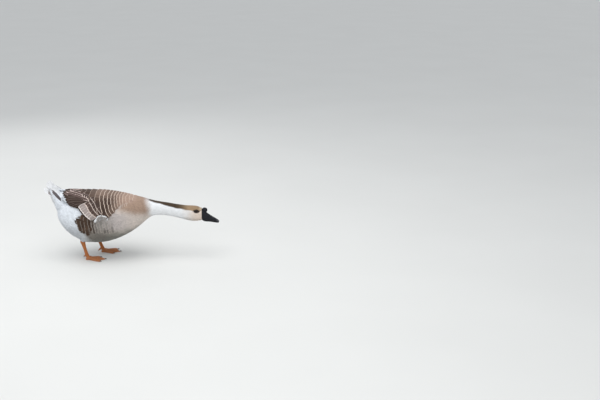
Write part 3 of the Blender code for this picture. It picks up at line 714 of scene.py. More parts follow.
class Coat:
    """A piece of the coat, gathered from several lots of feathers."""

    def __init__(self, name, seed):
        self.name, self.lots, self.count = name, [], 0
        self.random = np.random.default_rng(seed)

    def lay(self, vane, roots, heading, length, width, colour, edge, bend=0.35, flow=None, **more):
        """Lays one vane per root along the form. Values may be one for all or one for each."""
        count = len(roots)
        length, bend = each(length, count), each(bend, count)
        place, normal, flat = surface.nearest(roots)
        way = across(np.broadcast_to(heading, roots.shape), normal)
        spine, ways, ups = [place], [way], [normal]
        for step in np.diff(vane.rows):
            aim = way if flow is None else across(way + flow * lie(place, normal), normal)
            ahead, new_normal, _ = surface.nearest(place + aim * (length * step)[:, None])
            way = turned(aim, unit(ahead - place), bend)
            place = place + way * (length * step)[:, None]
            normal = turned(normal, new_normal, bend)
            normal = unit(normal - way * (normal * way).sum(1)[:, None])
            spine.append(place)
            ways.append(way)
            ups.append(normal)
        return self.dress(vane, *(np.stack(rows, 1) for rows in (spine, ways, ups)), flat, length,
                          width, colour, edge, **more)

    def dress(self, vane, spine, ways, ups, flat, length, width, colour, edge, depth=0.004,
              lift=0.0005, roll=0.0, rag=0.03, edge_share=0.0, tip_edge=0.0025, side_edge=0.0,
              wrap=0.0, shaft=0.0, soft=0.35, patch=0.003):
        """Sets a vane on each quill, given as a place, a way and an upward side for each row.

        depth sinks the root, lift raises the tip, rag roughens the rim, and wrap presses the vane on
        the form. soft is how far the upper face is shaded as the coat under it. patch is the vane's
        size on the bake's map, and 0 gives it a square of its own there.
        """
        count, chance = len(spine), self.random
        length, width, depth, lift, roll, tip_edge, side_edge = (
            each(value, count) for value in (length, width, depth, lift, roll, tip_edge, side_edge))
        spine, ways, ups = (rows[:, vane.row] for rows in (spine, ways, ups))
        aside = np.cross(ways, ups)
        rim = vane.is_rim * (vane.v > 0.3)
        shape = (count, len(vane.u))
        x = vane.x * (1 + chance.normal(0, rag, shape) * rim)
        y = vane.y + chance.normal(0, rag * 0.6, shape) * rim
        half = (width / 2)[:, None]
        points = spine + aside * (x * half)[..., None] + ways * (y * length[:, None])[..., None]
        if wrap:
            near, _, _ = surface.nearest(points.reshape(-1, 3))
            drop = ((near.reshape(points.shape) - points) * ups).sum(-1)
            points += ups * np.clip(drop, -wrap, wrap)[..., None]
        sunk = (1 - vane.v) ** 1.4
        height = vane.z * half - depth[:, None] * sunk + lift[:, None] * vane.v ** 2
        points += ups * (height - x * half * np.tan(roll)[:, None])[..., None]
        marks = (each(edge_share, count), side_edge / width * 2, tip_edge / length, each(shaft, count))
        painted = dict(colour=each3(colour, count), edge=each3(edge, count), marks=np.stack(marks, 1))
        painted = {key: np.repeat(rows, len(vane.u), 0) for key, rows in painted.items()}
        self.lots.append(dict(
            vane=vane, count=count, flat=flat, patch=patch, points=points.reshape(-1, 3),
            ups=ups.reshape(-1, 3), soft=np.full(x.size, soft), is_top=np.tile(vane.is_top, count),
            **painted))
        self.count += count

    def joined(self, key):
        """One array of all the lots."""
        return np.concatenate([lot[key] for lot in self.lots])

    def build(self, finish):
        """Joins the lots in one mesh, with its colours and its two UV maps."""
        mesh = bpy.data.meshes.new(self.name)
        totals = np.cumsum([0] + [len(lot["points"]) for lot in self.lots])
        mesh.vertices.add(int(totals[-1]))
        put_points(mesh, self.joined("points"))
        starts, corners, vane_uv, bake_uv, offset, done = [], [], [], [], 0, 0
        side = math.ceil(math.sqrt(self.count))
        for base, lot in zip(totals, self.lots):
            vane, count = lot["vane"], lot["count"]
            turn = np.arange(count)[:, None]
            corners.append((vane.loops + turn * len(vane.u) + base).ravel())
            starts.append((vane.starts + turn * len(vane.loops) + offset).ravel())
            offset += count * len(vane.loops)
            uv = np.stack([(vane.u + 1) / 2, vane.v], 1)[vane.loops]
            vane_uv.append(np.tile(uv, (count, 1)))
            middle, size = lot["flat"], lot["patch"]
            if not size:  # a few large feathers have a square each on the bake's map
                square = turn[:, 0] + done
                middle, size = (np.stack([square % side, square // side], 1) + 0.5) / side, 0.92 / side
            done += count
            bake_uv.append((middle[:, None] + (uv - 0.5) * size).reshape(-1, 2))
        corners, starts = np.concatenate(corners), np.concatenate(starts)
        mesh.loops.add(len(corners))
        mesh.loops.foreach_set("vertex_index", corners.astype(np.int32))
        mesh.polygons.add(len(starts))
        mesh.polygons.foreach_set("loop_start", starts.astype(np.int32))
        for name, uv in (("OFBake", np.concatenate(bake_uv)), ("vane", np.concatenate(vane_uv))):
            mesh.uv_layers.new(name=name).data.foreach_set("uv", uv.astype(np.float32).ravel())
        mesh.update(calc_edges=True)
        self.soften(mesh, corners)
        for name, key in (("marks", "marks"), ("plume", "colour"), ("edge", "edge")):
            paint_points(mesh, name, self.joined(key))
        piece = bpy.data.objects.new(self.name, mesh)
        scene.collection.objects.link(piece)
        mesh.materials.append(finish.material)
        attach(piece, "root")
        triangles = sum(lot["vane"].faces * lot["count"] for lot in self.lots)
        print(self.name, self.count, "feathers", triangles, "triangles")
        return piece

    def soften(self, mesh, corners):
        """Leans the shading of the vanes' upper faces towards that of the form under them."""
        mesh.shade_smooth()
        mesh.set_sharp_from_angle(angle=math.radians(60))
        shading = np.empty(len(corners) * 3)
        mesh.corner_normals.foreach_get("vector", shading)
        shading = shading.reshape(-1, 3)
        ups, soft = self.joined("ups")[corners], self.joined("soft")[corners]
        leaned = unit(shading + (ups - shading) * soft[:, None])
        mesh.normals_split_custom_set(np.where(self.joined("is_top")[:, None], leaned, shading).tolist())


# %% [markdown]
# ## The finish of a feather
# Each vane carries its own colours: one for the vane and one for its edge, with how wide the edge is.
# The vane's own UV map says how far a point is from the quill and from the tip, so the finish can
# draw the pale edge, the quill, and the fine barbs that slant out from it, which also roughen the
# surface. Soft body feathers are duller than the firm flight feathers. In the attribute `marks`, the
# four numbers are how strong the pale edge is, its width at the sides and at the tip, and how much
# of the quill shows.


# %% Feather finishes
def feather_finish(name, roughness, barbs, relief, streaks, sheen):
    """A finish with that many barbs along a vane, whose depth is relief and whose tint is streaks."""
    finish = Finish(name, (0.5, 0.45, 0.4), roughness, sheen_weight=sheen, sheen_roughness=0.5,
                    specular_ior_level=0.12)
    spot = finish.add("SeparateXYZ", {0: finish.add("UVMap", uv_map="vane").outputs[0]})
    beside = finish.sum("ABSOLUTE", finish.number(spot, 0) * 2.0 - 1.0)
    forth = finish.number(spot, 1)
    marks = finish.add("Attribute", attribute_name="marks")
    parts = finish.add("SeparateColor", {0: marks.outputs["Color"]})
    share, side_width, tip_width = (finish.number(parts, k) for k in range(3))
    shaft = finish.number(marks, 3)
    clouds = finish.noise(60, 3)
    wobble = (finish.noise(420, 2) - 0.5) * 0.5
    side = finish.rise(beside + side_width * (wobble + 1.0), 1.0, 1.08)
    tip = finish.rise(forth + tip_width * (wobble + 1.0), 0.990, 1.018)
    edge = finish.sum("MAXIMUM", side, tip) * share
    wave = finish.sum("SINE", (forth * barbs - beside * (barbs * 0.4) + wobble * 1.5) * math.tau)
    plume = finish.add("Attribute", attribute_name="plume").outputs["Color"]
    pale = finish.add("Attribute", attribute_name="edge").outputs["Color"]
    tone = finish.mix(edge, plume, pale)
    grain = 0.92 + beside * beside * 0.14 + wave * streaks + (clouds - 0.5) * 0.22
    tone = finish.mix(1.0, tone, finish.add("CombineColor", {0: grain, 1: grain, 2: grain}).outputs[0],
                      "MULTIPLY")
    quill = finish.rise(beside, 0.075, 0.03) * shaft
    finish.set("Base Color", finish.mix(quill, tone, (0.30, 0.24, 0.19)))
    finish.bump(wave * 0.5 + quill * 2.0 + (finish.noise(700, 2) - 0.5), relief, 0.8)
    finish.set("Roughness", roughness - quill * 0.2 + (clouds - 0.5) * 0.12)
    return finish


body_finish = feather_finish("soft_feather", roughness=0.9, barbs=16.0, relief=0.00008,
                             streaks=0.035, sheen=0.10)
vane_finish = feather_finish("firm_feather", roughness=0.7, barbs=44.0, relief=0.00010,
                             streaks=0.07, sheen=0.0)
print("feather finishes", body_finish.material.name, vane_finish.material.name)

# %% [markdown]
# ## The body's coat
# Thousands of small feathers cover the bird evenly but never in ranks. Roots are scattered on the
# form and thinned, so that no two stand nearer than the spacing of that place: one and a half
# millimetres on the face, six on the rump. Places where larger feathers lie in rows are left out, and
# are filled in the next steps.


# %% Scattering
def leg_gap(p):
    """The distance to the nearer hock, where the bare leg comes out of the coat."""
    return np.min([np.linalg.norm(p - hock, axis=1) for hock in HOCKS], 0)


def spacing(p):
    """The distance between the roots of neighbouring feathers."""
    size = along(p[:, 0], (-0.42, 0.0064), (-0.25, 0.0063), (-0.05, 0.0056), (0.05, 0.0046),
                 (0.10, 0.0036), (0.20, 0.0029), (0.27, 0.0023), (0.30, 0.0017), (0.35, 0.0014))
    return size * along(leg_gap(p), (0.012, 0.50), (0.05, 1.0))


def scatter(seed):
    """Root places all over the form, no two nearer than their spacing."""
    chance = np.random.default_rng(seed)
    corners = surface.points[surface.corners]
    area = np.linalg.norm(np.cross(corners[:, 1] - corners[:, 0], corners[:, 2] - corners[:, 0]), axis=1)
    wanted = area / spacing(corners.mean(1)) ** 2
    picked = chance.choice(len(area), int(wanted.sum() * 4), p=wanted / wanted.sum())
    a, b = chance.random((2, len(picked), 1))
    flip = (a + b) > 1
    a, b = np.where(flip, 1 - a, a), np.where(flip, 1 - b, b)
    first, second, third = (corners[picked, k] for k in range(3))
    spots = first + a * (second - first) + b * (third - first)
    tree = kdtree.KDTree(len(spots))
    for index, spot in enumerate(spots.tolist()):
        tree.insert(spot, index)
    tree.balance()
    free, kept = np.ones(len(spots), bool), []
    reach = spacing(spots) * 0.92
    for index, (spot, radius) in enumerate(zip(spots.tolist(), reach.tolist())):
        if free[index]:
            kept.append(index)
            for _, other, _ in tree.find_range(spot, radius):
                free[other] = False
    return spots[kept]


roots = scatter(5)
print("roots on the form", len(roots))


# %% Roots left out
def nearness(nodes, p):
    """How far each place is from the nearest of some solids."""
    trees = []
    for node in nodes:
        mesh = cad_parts[node].data
        trees.append(BVHTree.FromPolygons([point.co for point in mesh.vertices],
                                          [tuple(face.vertices) for face in mesh.polygons]))
    return np.array([min(tree.find_nearest(spot)[3] for tree in trees) for spot in p.tolist()])


def on_wing(p):
    """Whether each place is nearer to a folded wing than to the body."""
    wings = [node for node in FLESH if "wing" in node]
    return nearness(wings, p) < nearness([node for node in FLESH if node not in wings], p)


BILL_ROOT = 0.3508
x, side_y, z = roots[:, 0], np.abs(roots[:, 1]), roots[:, 2]
wing_root = on_wing(roots)
behind = (x < tip_line(z) + 0.005) & ((side_y > 0.012) | (x < -0.336))
in_wing = wing_root & (x < -0.085) & ~behind
in_back = (x < -0.035) & (z > back_edge(x)) & (x > -0.300)
between_tips = (x > -0.334) & (x < -0.2) & (z > 0.330) & (side_y < 0.07) & ~behind
ends = roots + lie(roots, surface.nearest(roots)[1]) * (spacing(roots) * 4.0)[:, None]
over_wing = ~wing_root & on_wing(ends) & (x < -0.15) & (ends[:, 0] > tip_line(ends[:, 2]) - 0.001)
tail_along, tail_up = (roots - TAIL_ROOT) @ TAIL_AXIS, (roots - TAIL_ROOT) @ TAIL_UP
beside_tail = (side_y > 0.034) | (tail_up > 0.023)
off_tail = (tail_along < 0.010) | ((tail_along < 0.050) & beside_tail)
eye_gap = np.hypot(x - EYE[0], z - EYE[2])
off_lids = eye_gap > np.where(x > EYE[0], 0.0076, 0.0063)
loose = ~(in_wing | in_back | between_tips | over_wing) & off_tail & off_lids & (x < BILL_ROOT)
roots, eye_gap = roots[loose], eye_gap[loose]
print("scattered roots", len(roots))


# %% [markdown]
# ## Small feathers
# The scattered feathers are laid in five pieces, from the head to the rump. The face has short hairs,
# the neck long narrow ones, and the body round soft ones, all about five spacings long, so that each
# place is covered several times over. Each feather takes the colour of the place that its open part
# covers, not of its root. Round the top of each leg, rings of small feathers hang as a cuff.


# %% Leg cuffs
def tinted(colours, chance, spread=0.06):
    """Colours that differ a little from feather to feather."""
    return colours * (1 + chance.normal(0, spread, (len(colours), 1)))


CUFFS = ((0.0165, -0.001, 0.0190), (0.0145, 0.002, 0.0180), (0.0125, 0.005, 0.0165))


def lay_cuffs(coat):
    """Rings of small feathers round the top of each leg, by radius, drop and length."""
    for hock, heel in zip(HOCKS, HEELS):
        down_leg = unit(heel - hock)
        for ring, (radius, drop, long) in enumerate(CUFFS):
            turn = np.linspace(0, math.tau, 34 - 4 * ring, endpoint=False) + 0.5 * ring
            out = np.stack([np.cos(turn), np.sin(turn), 0 * turn], 1)
            start = hock + out * radius - (0, 0, drop) + (0, 0, 0.012)
            way = unit(down_leg - out * 0.22)
            reach = long * coat.random.uniform(0.75, 1.1, len(turn))
            spine = start[:, None] + way[:, None] * (reach[:, None] * soft_vane.rows)[..., None]
            ups = unit(out - way * (out * way).sum(1)[:, None])
            rows = (len(turn), len(soft_vane.rows), 3)
            flat = surface.nearest(start)[2]
            tone = tinted(plumage_and_shade(start) * 0.92, coat.random, 0.05)
            coat.dress(soft_vane, spine, np.broadcast_to(way[:, None], rows),
                       np.broadcast_to(ups[:, None], rows), flat, reach, 0.0065, tone, tone, depth=0.001,
                       lift=0.0, roll=coat.random.normal(0, 0.08, len(turn)), rag=0.06, soft=0.4)


# %% Body feathers
def cover(name, vane, picked, long, wide, seed, spread=0.05):
    """Covers the picked roots. long and wide are counted in spacings."""
    coat = Coat(name, seed)
    spots = roots[picked]
    gap = spacing(spots)
    ahead = gap * long * along(eye_gap[picked], (0.007, 0.25), (0.016, 0.8))
    tone = plumage_and_shade(spots + lie(spots, surface.nearest(spots)[1]) * ahead[:, None])
    tone = tinted(tone, coat.random, spread)
    pale = np.minimum(tone * 1.2 + 0.012, 0.9)
    paler_edge = np.clip(0.72 - tone.mean(1), 0, 0.40)
    shorter = along(eye_gap[picked], (0.0063, 0.45), (0.0120, 1.0))
    if name == "coat_belly":
        lay_cuffs(coat)
    coat.lay(vane, spots, (-1, 0, 0), gap * long * shorter * coat.random.uniform(0.88, 1.12, len(spots)),
             gap * wide * (0.4 + 0.6 * shorter), tone, pale, depth=coat_depth(spots), lift=0.0002,
             bend=0.5, flow=1.2, roll=coat.random.normal(0, 0.05, len(spots)), rag=0.06,
             edge_share=paler_edge, tip_edge=gap * 0.35, side_edge=gap * 0.2, soft=0.78)
    coat.build(body_finish)


x, z = roots[:, 0], roots[:, 2]
head_part, neck_part = x > 0.272, (x <= 0.272) & (x > 0.088)
rear_part = (x < -0.262) & ~((z < 0.13) & (x > -0.28))
front_part = (x <= 0.088) & (x > -0.085)
middle_part = ~(head_part | neck_part | rear_part | front_part)
cover("coat_head", hair_vane, head_part, long=5.0, wide=1.4, seed=11, spread=0.035)
cover("coat_neck", neck_vane, neck_part, long=6.0, wide=1.5, seed=12, spread=0.03)
cover("coat_breast", soft_vane, front_part, long=4.6, wide=2.4, seed=13)
cover("coat_belly", soft_vane, middle_part, long=4.6, wide=2.4, seed=14)
cover("coat_rump", soft_vane, rear_part, long=4.8, wide=2.5, seed=15)

# %% [markdown]
# ## The barred back
# The broad square feathers of the back and shoulders lie in cross rows, and their pale ends join in
# bars. Each bar runs from one side over the back to the other: it is found by looking at the form
# from the bird's axis, one angle after another, and the tips of one row of feathers are set along it.
# Their roots are found by walking from the tips against the lie of the feathers.


# %% Rows of tips
AXIS_HEIGHT, FAR_OUT = 0.25, 0.4  # the height of the body's axis, and a distance outside the body
BACK_TOP, BACK_DEEP = 0.341, 0.085  # how high the bars cross the back, and how far down they reach


def seen_from_axis(x, angle):
    """The point of the form at x that faces away from the body's axis at this angle from above."""
    out = Vector((0, math.sin(angle), math.cos(angle)))
    hit = surface.tree.ray_cast(Vector((x, 0, AXIS_HEIGHT)) + out * FAR_OUT, -out)[0]
    return np.array(hit) if hit else None


def bar_line(x, looks=90, lean=0.026):
    """Points along a bar whose middle crosses the back at x; it leans forwards at its sides."""
    line = []
    for angle in np.linspace(-1.75, 1.75, looks):
        spot = seen_from_axis(x, angle)
        for _ in range(3):
            if spot is not None:
                forward = lean * (max(BACK_TOP - spot[2], 0) / BACK_DEEP) ** 1.4
                spot = seen_from_axis(x + forward, angle)
        if spot is not None:
            line.append(spot)
    return np.array(line)


def evenly_on(line, step, offset=0.5):
    """Points a step apart along a line of points."""
    length = np.concatenate([[0], np.cumsum(np.linalg.norm(np.diff(line, axis=0), axis=1))])
    count = max(1, int(length[-1] / step))
    at = (np.arange(count) + offset) * length[-1] / count
    return np.stack([np.interp(at, length, line[:, k]) for k in range(3)], 1)


def lay_by_tips(coat, vane, tips, heading, length, width, **more):
    """Lays feathers whose tips are given: their roots are found by going back along the form."""
    length, heading = each(length, len(tips)), np.broadcast_to(heading, tips.shape)
    spot, normal, _ = surface.nearest(tips)
    for _ in range(6):
        step = across(-heading, normal) * (length / 6)[:, None]
        spot, normal, _ = surface.nearest(spot + step)
    coat.lay(vane, spot, unit(tips - spot), length, width, **more)


# %% Bars over the back
PALE_EDGE = np.array((0.70, 0.57, 0.48))
SHOULDER = np.array((0.37, 0.262, 0.205))
BARS = (-0.262, -0.238, -0.212, -0.182, -0.158, -0.139, -0.121, -0.104, -0.089, -0.076, -0.063, -0.049,
        -0.034, -0.018, -0.002)
back = Coat("coat_back", 21)
for number, x in enumerate(BARS):
    line = bar_line(x)
    inside = line[:, 2] > back_edge(line[:, 0]) - 0.004
    if x < -0.215:
        inside &= np.abs(line[:, 1]) < 0.065 + (x + 0.212) * 0.6
    tips = evenly_on(line[inside], 0.021, 0.35 + 0.3 * (number % 2))
    tips[:, 0] += back.random.normal(0, 0.0008, len(tips))
    slope = 0.30 * np.maximum(BACK_TOP - tips[:, 2], 0) / BACK_DEEP
    heading = np.stack([-np.ones(len(tips)), 0 * slope, -slope], 1)
    dark = ease(-0.020, -0.115, tips[:, 0] + 0.35 * (BACK_TOP - tips[:, 2]))
    # Painted light: along the top of the back the bars are drawn paler, as if lit from above.
    lit_ridge = 0.42 * ease(0.318, 0.350, tips[:, 2]) * ease(-0.245, -0.17, tips[:, 0])
    dark = dark * (1 - lit_ridge)
    tone = tinted(SHOULDER * (1 - dark)[:, None] + BACK * dark[:, None], back.random)
    strength = (0.45 + 0.55 * dark) * along(tips[:, 0], (-0.21, 0.30), (-0.165, 0.5), (-0.145, 1.0))
    pale = PALE_EDGE * (1 + 0.10 * (1 - dark))[:, None]
    lay_by_tips(back, bar_vane, tips, heading, 0.046, 0.031, colour=tone, edge=pale, depth=0.0050,
                lift=0.0010, bend=0.25, wrap=0.004, roll=np.radians(back.random.normal(2, 1, len(tips))),
                rag=0.008, edge_share=strength, tip_edge=0.0029, side_edge=0.0005, patch=0)
back.build(vane_finish)

# %% [markdown]
# ## The folded wing
# Below the back lie the wing coverts, in rows that slant down and back, each covering the roots of
# the next, then the secondaries, whose ends make the wing's lower edge. One more dark row is almost
# hidden under them. Rows are given by the line of their tips on the right side, and the lowest row is
# laid first because it lies deepest.


# %% Lines of tips
SECONDARIES = [(-0.257, -0.105, 0.289), (-0.244, -0.112, 0.273),
               (-0.224, -0.120, 0.250), (-0.209, -0.123, 0.237), (-0.196, -0.124, 0.226)]
GREATER = [(-0.228, -0.101, 0.304), (-0.214, -0.110, 0.291),
           (-0.198, -0.121, 0.263), (-0.176, -0.124, 0.246), (-0.166, -0.124, 0.236)]
MEDIAN = [(-0.250, -0.056, 0.340), (-0.246, -0.062, 0.338), (-0.218, -0.077, 0.329),
          (-0.200, -0.101, 0.307), (-0.178, -0.118, 0.275), (-0.160, -0.1235, 0.256),
          (-0.150, -0.124, 0.246)]
LESSER = [(-0.204, -0.078, 0.329), (-0.200, -0.080, 0.327), (-0.177, -0.102, 0.307),
          (-0.165, -0.116, 0.285), (-0.146, -0.122, 0.262), (-0.132, -0.123, 0.250)]
HIDDEN = [(-0.277, -0.098, 0.2915), (-0.262, -0.105, 0.2855), (-0.250, -0.112, 0.2690),
          (-0.231, -0.119, 0.2460), (-0.219, -0.122, 0.2350)]
DOWN_BACK = (-0.80, -0.10, -0.58)
COVERT_EDGE = np.array((0.55, 0.455, 0.40))
COVERT_GREY = np.array((0.30, 0.255, 0.24))
SECONDARY_EDGE = np.array((0.88, 0.80, 0.75))


# %% Wing rows
def mirrored(line, side):
    """A line of the right side (-1), or its mirror image for the left side (1)."""
    return np.array(line) * (1, -side, 1)


def lay_row(coat, side, line, step, length, width, colour, **more):
    """Lays one row of the wing with its tips along a line."""
    tips = evenly_on(mirrored(line, side), step)
    count = len(tips)
    tone = tinted(each3(colour, count), coat.random, 0.07)
    length = length * coat.random.uniform(0.96, 1.04, count)
    roll = np.radians(coat.random.normal(3 * side, 1, count))
    lay_by_tips(coat, bar_vane, tips, mirrored(DOWN_BACK, side), length, width, colour=tone, roll=roll,
                wrap=0.003, rag=0.01, patch=0, **more)


ROWS = (
    dict(line=HIDDEN, step=0.0125, length=0.060, width=0.019, colour=QUILL * 0.8, edge=QUILL,
         depth=0.0062, lift=0.0, bend=0.12),
    dict(line=SECONDARIES, step=0.0125, length=0.062, width=0.021, colour=COVERT_GREY * 1.15,
         edge=SECONDARY_EDGE, depth=0.0058, lift=0.0002, bend=0.12, edge_share=1.0, tip_edge=0.0042,
         side_edge=0.0014, shaft=0.3),
    dict(line=GREATER, step=0.0135, length=0.055, width=0.022, colour=WING * 1.4, edge=COVERT_EDGE * 1.3,
         depth=0.0050, lift=0.0008, bend=0.2, edge_share=1.0, tip_edge=0.0036, side_edge=0.0010),
    dict(line=MEDIAN, step=0.0145, length=0.052, width=0.023, colour=WING, edge=COVERT_EDGE * 1.08,
         depth=0.0042, lift=0.0014, bend=0.2, edge_share=1.0, tip_edge=0.0034, side_edge=0.0012),
    dict(line=LESSER, step=0.0145, length=0.045, width=0.022, colour=WING * 1.1,
         edge=COVERT_EDGE * 0.95, depth=0.0036, lift=0.0020, bend=0.2, edge_share=0.95,
         tip_edge=0.0030, side_edge=0.0008))
wings = Coat("coat_wing_coverts", 22)
for side in (-1, 1):
    for row in ROWS:
        lay_row(wings, side, **row)
wings.build(vane_finish)

# %% [markdown]
# ## Tertials, primaries and scapulars
# Behind the coverts the long dark tertials and primaries run to a blunt point over the rump. Each is
# given by its root and its tip, and the uppermost is laid first and lifted most. Three long feathers
# of the shoulder, with broad pale sides, lie over them on each side of the back.

# %% Tertials and primaries
TIPS = [(-0.3400, -0.005, 0.3500), (-0.3450, -0.013, 0.3495), (-0.3490, -0.022, 0.3485),
        (-0.3500, -0.033, 0.3450), (-0.3450, -0.044, 0.3385), (-0.3385, -0.055, 0.3270),
        (-0.3315, -0.065, 0.3150), (-0.3250, -0.073, 0.3030), (-0.3160, -0.081, 0.2930),
        (-0.3020, -0.089, 0.2880), (-0.2830, -0.096, 0.2895)]
BASES = [(-0.2020, -0.006, 0.3490), (-0.2030, -0.018, 0.3480), (-0.2050, -0.030, 0.3450),
         (-0.2080, -0.044, 0.3390), (-0.2100, -0.058, 0.3360), (-0.2130, -0.069, 0.3310),
         (-0.2160, -0.080, 0.3260), (-0.2190, -0.090, 0.3190), (-0.2210, -0.096, 0.3130),
         (-0.2200, -0.101, 0.3070), (-0.2200, -0.106, 0.3010)]
SCAPULARS = [((-0.205, -0.090, 0.325), (-0.338, -0.034, 0.345)),
             ((-0.205, -0.080, 0.331), (-0.333, -0.017, 0.349)),
             ((-0.200, -0.069, 0.336), (-0.318, -0.002, 0.350))]
QUILL_EDGE = np.array((0.40, 0.31, 0.27))
SCAPULAR, SCAPULAR_EDGE = np.array((0.085, 0.055, 0.050)), np.array((0.82, 0.66, 0.60))
quills = Coat("coat_flight", 23)
for side in (-1, 1):
    tips, bases = mirrored(TIPS, side), mirrored(BASES, side)
    order = np.linspace(1, 0, len(tips))
    length = np.linalg.norm(tips - bases, axis=1) * 1.03
    tone = tinted(each3(QUILL, len(tips)), quills.random, 0.08)
    quills.lay(long_vane, bases, unit(tips - bases), length, 0.026 - 0.004 * (1 - order), tone,
               QUILL_EDGE, depth=0.004 - 0.002 * order, lift=0.0004 + 0.0026 * order, bend=0.10,
               roll=np.radians(4.0 * side), rag=0.006, edge_share=0.85, tip_edge=0.0014,
               side_edge=0.0011, wrap=0.002, shaft=0.5, patch=0)
    for number, (base, tip) in enumerate(SCAPULARS):
        base, tip = mirrored([base], side), mirrored([tip], side)
        quills.lay(long_vane, base, unit(tip - base), np.linalg.norm(tip - base) * 1.02, 0.025,
                   SCAPULAR, SCAPULAR_EDGE, depth=0.003, lift=0.0030 + 0.0008 * number, bend=0.12,
                   roll=np.radians(3.0 * side), rag=0.006, edge_share=1.0, tip_edge=0.0024,
                   side_edge=0.0038, wrap=0.002, shaft=0.5, patch=0)
quills.build(vane_finish)

# %% [markdown]
# ## Flank, wrist and breast feathers over the wing
# Dark flank feathers with pale ends stand in upright bars behind and below the wing, and fade to grey
# towards the breast. At the wrist two rings of pale-edged feathers spread like a rosette over the
# wing's edge, and the longest feathers of the breast's side lie over its front. Three functions lay
# them, and all go into one piece, one side after the other.


# %% Flank bars
def seen_from_side(x, z, side):
    """The point of the form that faces sideways at x and z."""
    hit = surface.tree.ray_cast(Vector((x, side * FAR_OUT, z)), Vector((0, -side, 0)))[0]
    return np.array(hit)


FLANK_BARS = (*np.arange(-0.268, -0.190, 0.0185), *np.arange(-0.182, -0.095, 0.0135))
FLANK_EDGE = np.array((0.46, 0.40, 0.35))


def lay_flank(coat, side):
    """Upright bars, dark behind and grey in front, each leaning forwards at its foot."""
    for number, x in enumerate(FLANK_BARS):
        low = along(x, (-0.272, 0.176), (-0.255, 0.153), (-0.24, 0.148), (-0.19, 0.160), (-0.10, 0.150))
        high = along(x, (-0.272, 0.222), (-0.235, 0.234), (-0.20, 0.228), (-0.185, 0.212), (-0.10, 0.205))
        line = np.array([seen_from_side(x + 0.10 * (0.19 - z), z, side)
                         for z in np.arange(low, high, 0.002)])
        tips = evenly_on(line, 0.0150, 0.3 + 0.4 * (number % 2))
        tips[:, 0] += coat.random.normal(0, 0.0012, len(tips))
        dark = ease(-0.172, -0.213, tips[:, 0])
        grey = plumage_and_shade(tips) * 0.86
        tone = tinted(grey + (FLANK * 1.1 - grey) * dark[:, None], coat.random, 0.2)
        pale = FLANK_EDGE * (0.62 + 0.45 * (1 - dark))[:, None]
        lay_by_tips(coat, bar_vane, tips, (-0.98, 0, -0.18), 0.042, 0.027, colour=tone, edge=pale,
                    depth=0.0050, lift=0.0008, bend=0.3, wrap=0.003, rag=0.02,
                    roll=np.radians(coat.random.normal(0, 2.5, len(tips))),
                    edge_share=0.65 + 0.15 * dark, tip_edge=0.0023, side_edge=0.0005, soft=0.5, patch=0)


# %% Wrist
WRIST = (-0.140, 0.224)  # the place and height that the rosette spreads from
WRIST_GREY = (0.36, 0.335, 0.32)
OUTER_RING = ((-0.180, 0.2346), (-0.1605, 0.2474), (-0.145, 0.2534), (-0.130, 0.2535),
              (-0.1174, 0.2497), (-0.1125, 0.2400), (-0.1137, 0.2290))
INNER_RING = ((-0.1600, 0.2270), (-0.1480, 0.2365), (-0.1358, 0.2407), (-0.1270, 0.2370))


def lay_wrist(coat, side):
    """A rosette of two rings, the inner one fainter and a millimetre higher."""
    for ring, tip_edge, strength, rise in ((OUTER_RING, 0.0048, 1.0, 0), (INNER_RING, 0.0026, 0.6, 0.001)):
        line = np.array([seen_from_side(x, z, side) for x, z in ring])
        tips = evenly_on(line, 0.0075)
        away = tips - seen_from_side(*WRIST, side)
        tone = tinted(each3(WRIST_GREY, len(tips)), coat.random, 0.1)
        lift = 0.0036 + rise + 0.0016 * (tips[:, 0] > -0.125)
        lay_by_tips(coat, bar_vane, tips, unit(away), np.linalg.norm(away, axis=1) + 0.004, 0.0150,
                    colour=tone, edge=WHITE, depth=0.003, lift=lift, bend=0.2, wrap=0.003, rag=0.012,
                    edge_share=strength, tip_edge=tip_edge, side_edge=0.0005, soft=0.5, patch=0)


# %% Side of the breast
BREAST_LINE = ((-0.095, -0.108, 0.251), (-0.091, -0.106, 0.256), (-0.058, -0.089, 0.285),
               (-0.041, -0.081, 0.293), (-0.017, -0.0735, 0.298))


def lay_breast_side(coat, side):
    """Long feathers of the breast's side, over the front of the wing."""
    tips = evenly_on(mirrored(BREAST_LINE, side), 0.011)
    tone = tinted(plumage_and_shade(tips + (0.03, 0, -0.015)), coat.random)
    lay_by_tips(coat, bar_vane, tips, (-0.92, 0, 0.20), 0.045, 0.024, colour=tone,
                edge=(0.60, 0.52, 0.47), depth=0.003, lift=0.0028, bend=0.25, wrap=0.004, rag=0.02,
                edge_share=0.6, tip_edge=0.003, side_edge=0.0006, patch=0)


flank = Coat("coat_flank", 24)
for side in (-1, 1):
    for lay_group in (lay_flank, lay_wrist, lay_breast_side):
        lay_group(flank, side)
flank.build(body_finish)

# %% [markdown]
# ## The tail
# Sixteen stiff feathers make the fan, the middle pair on top. Each is dusky with a broad white end,
# and the outer ones spread wider and droop. They are set one by one on the tail's own frame: along
# it, aside and up.


# %% Tail feathers
LEFT = np.array((0, 1.0, 0))


def tail_place(forth, aside, up):
    """A place given along the tail, to the left of its axis and square to its upper face."""
    forth, aside, up = (np.asarray(value, float)[..., None] for value in (forth, aside, up))
    return TAIL_ROOT + TAIL_AXIS * forth + LEFT * aside + TAIL_UP * up


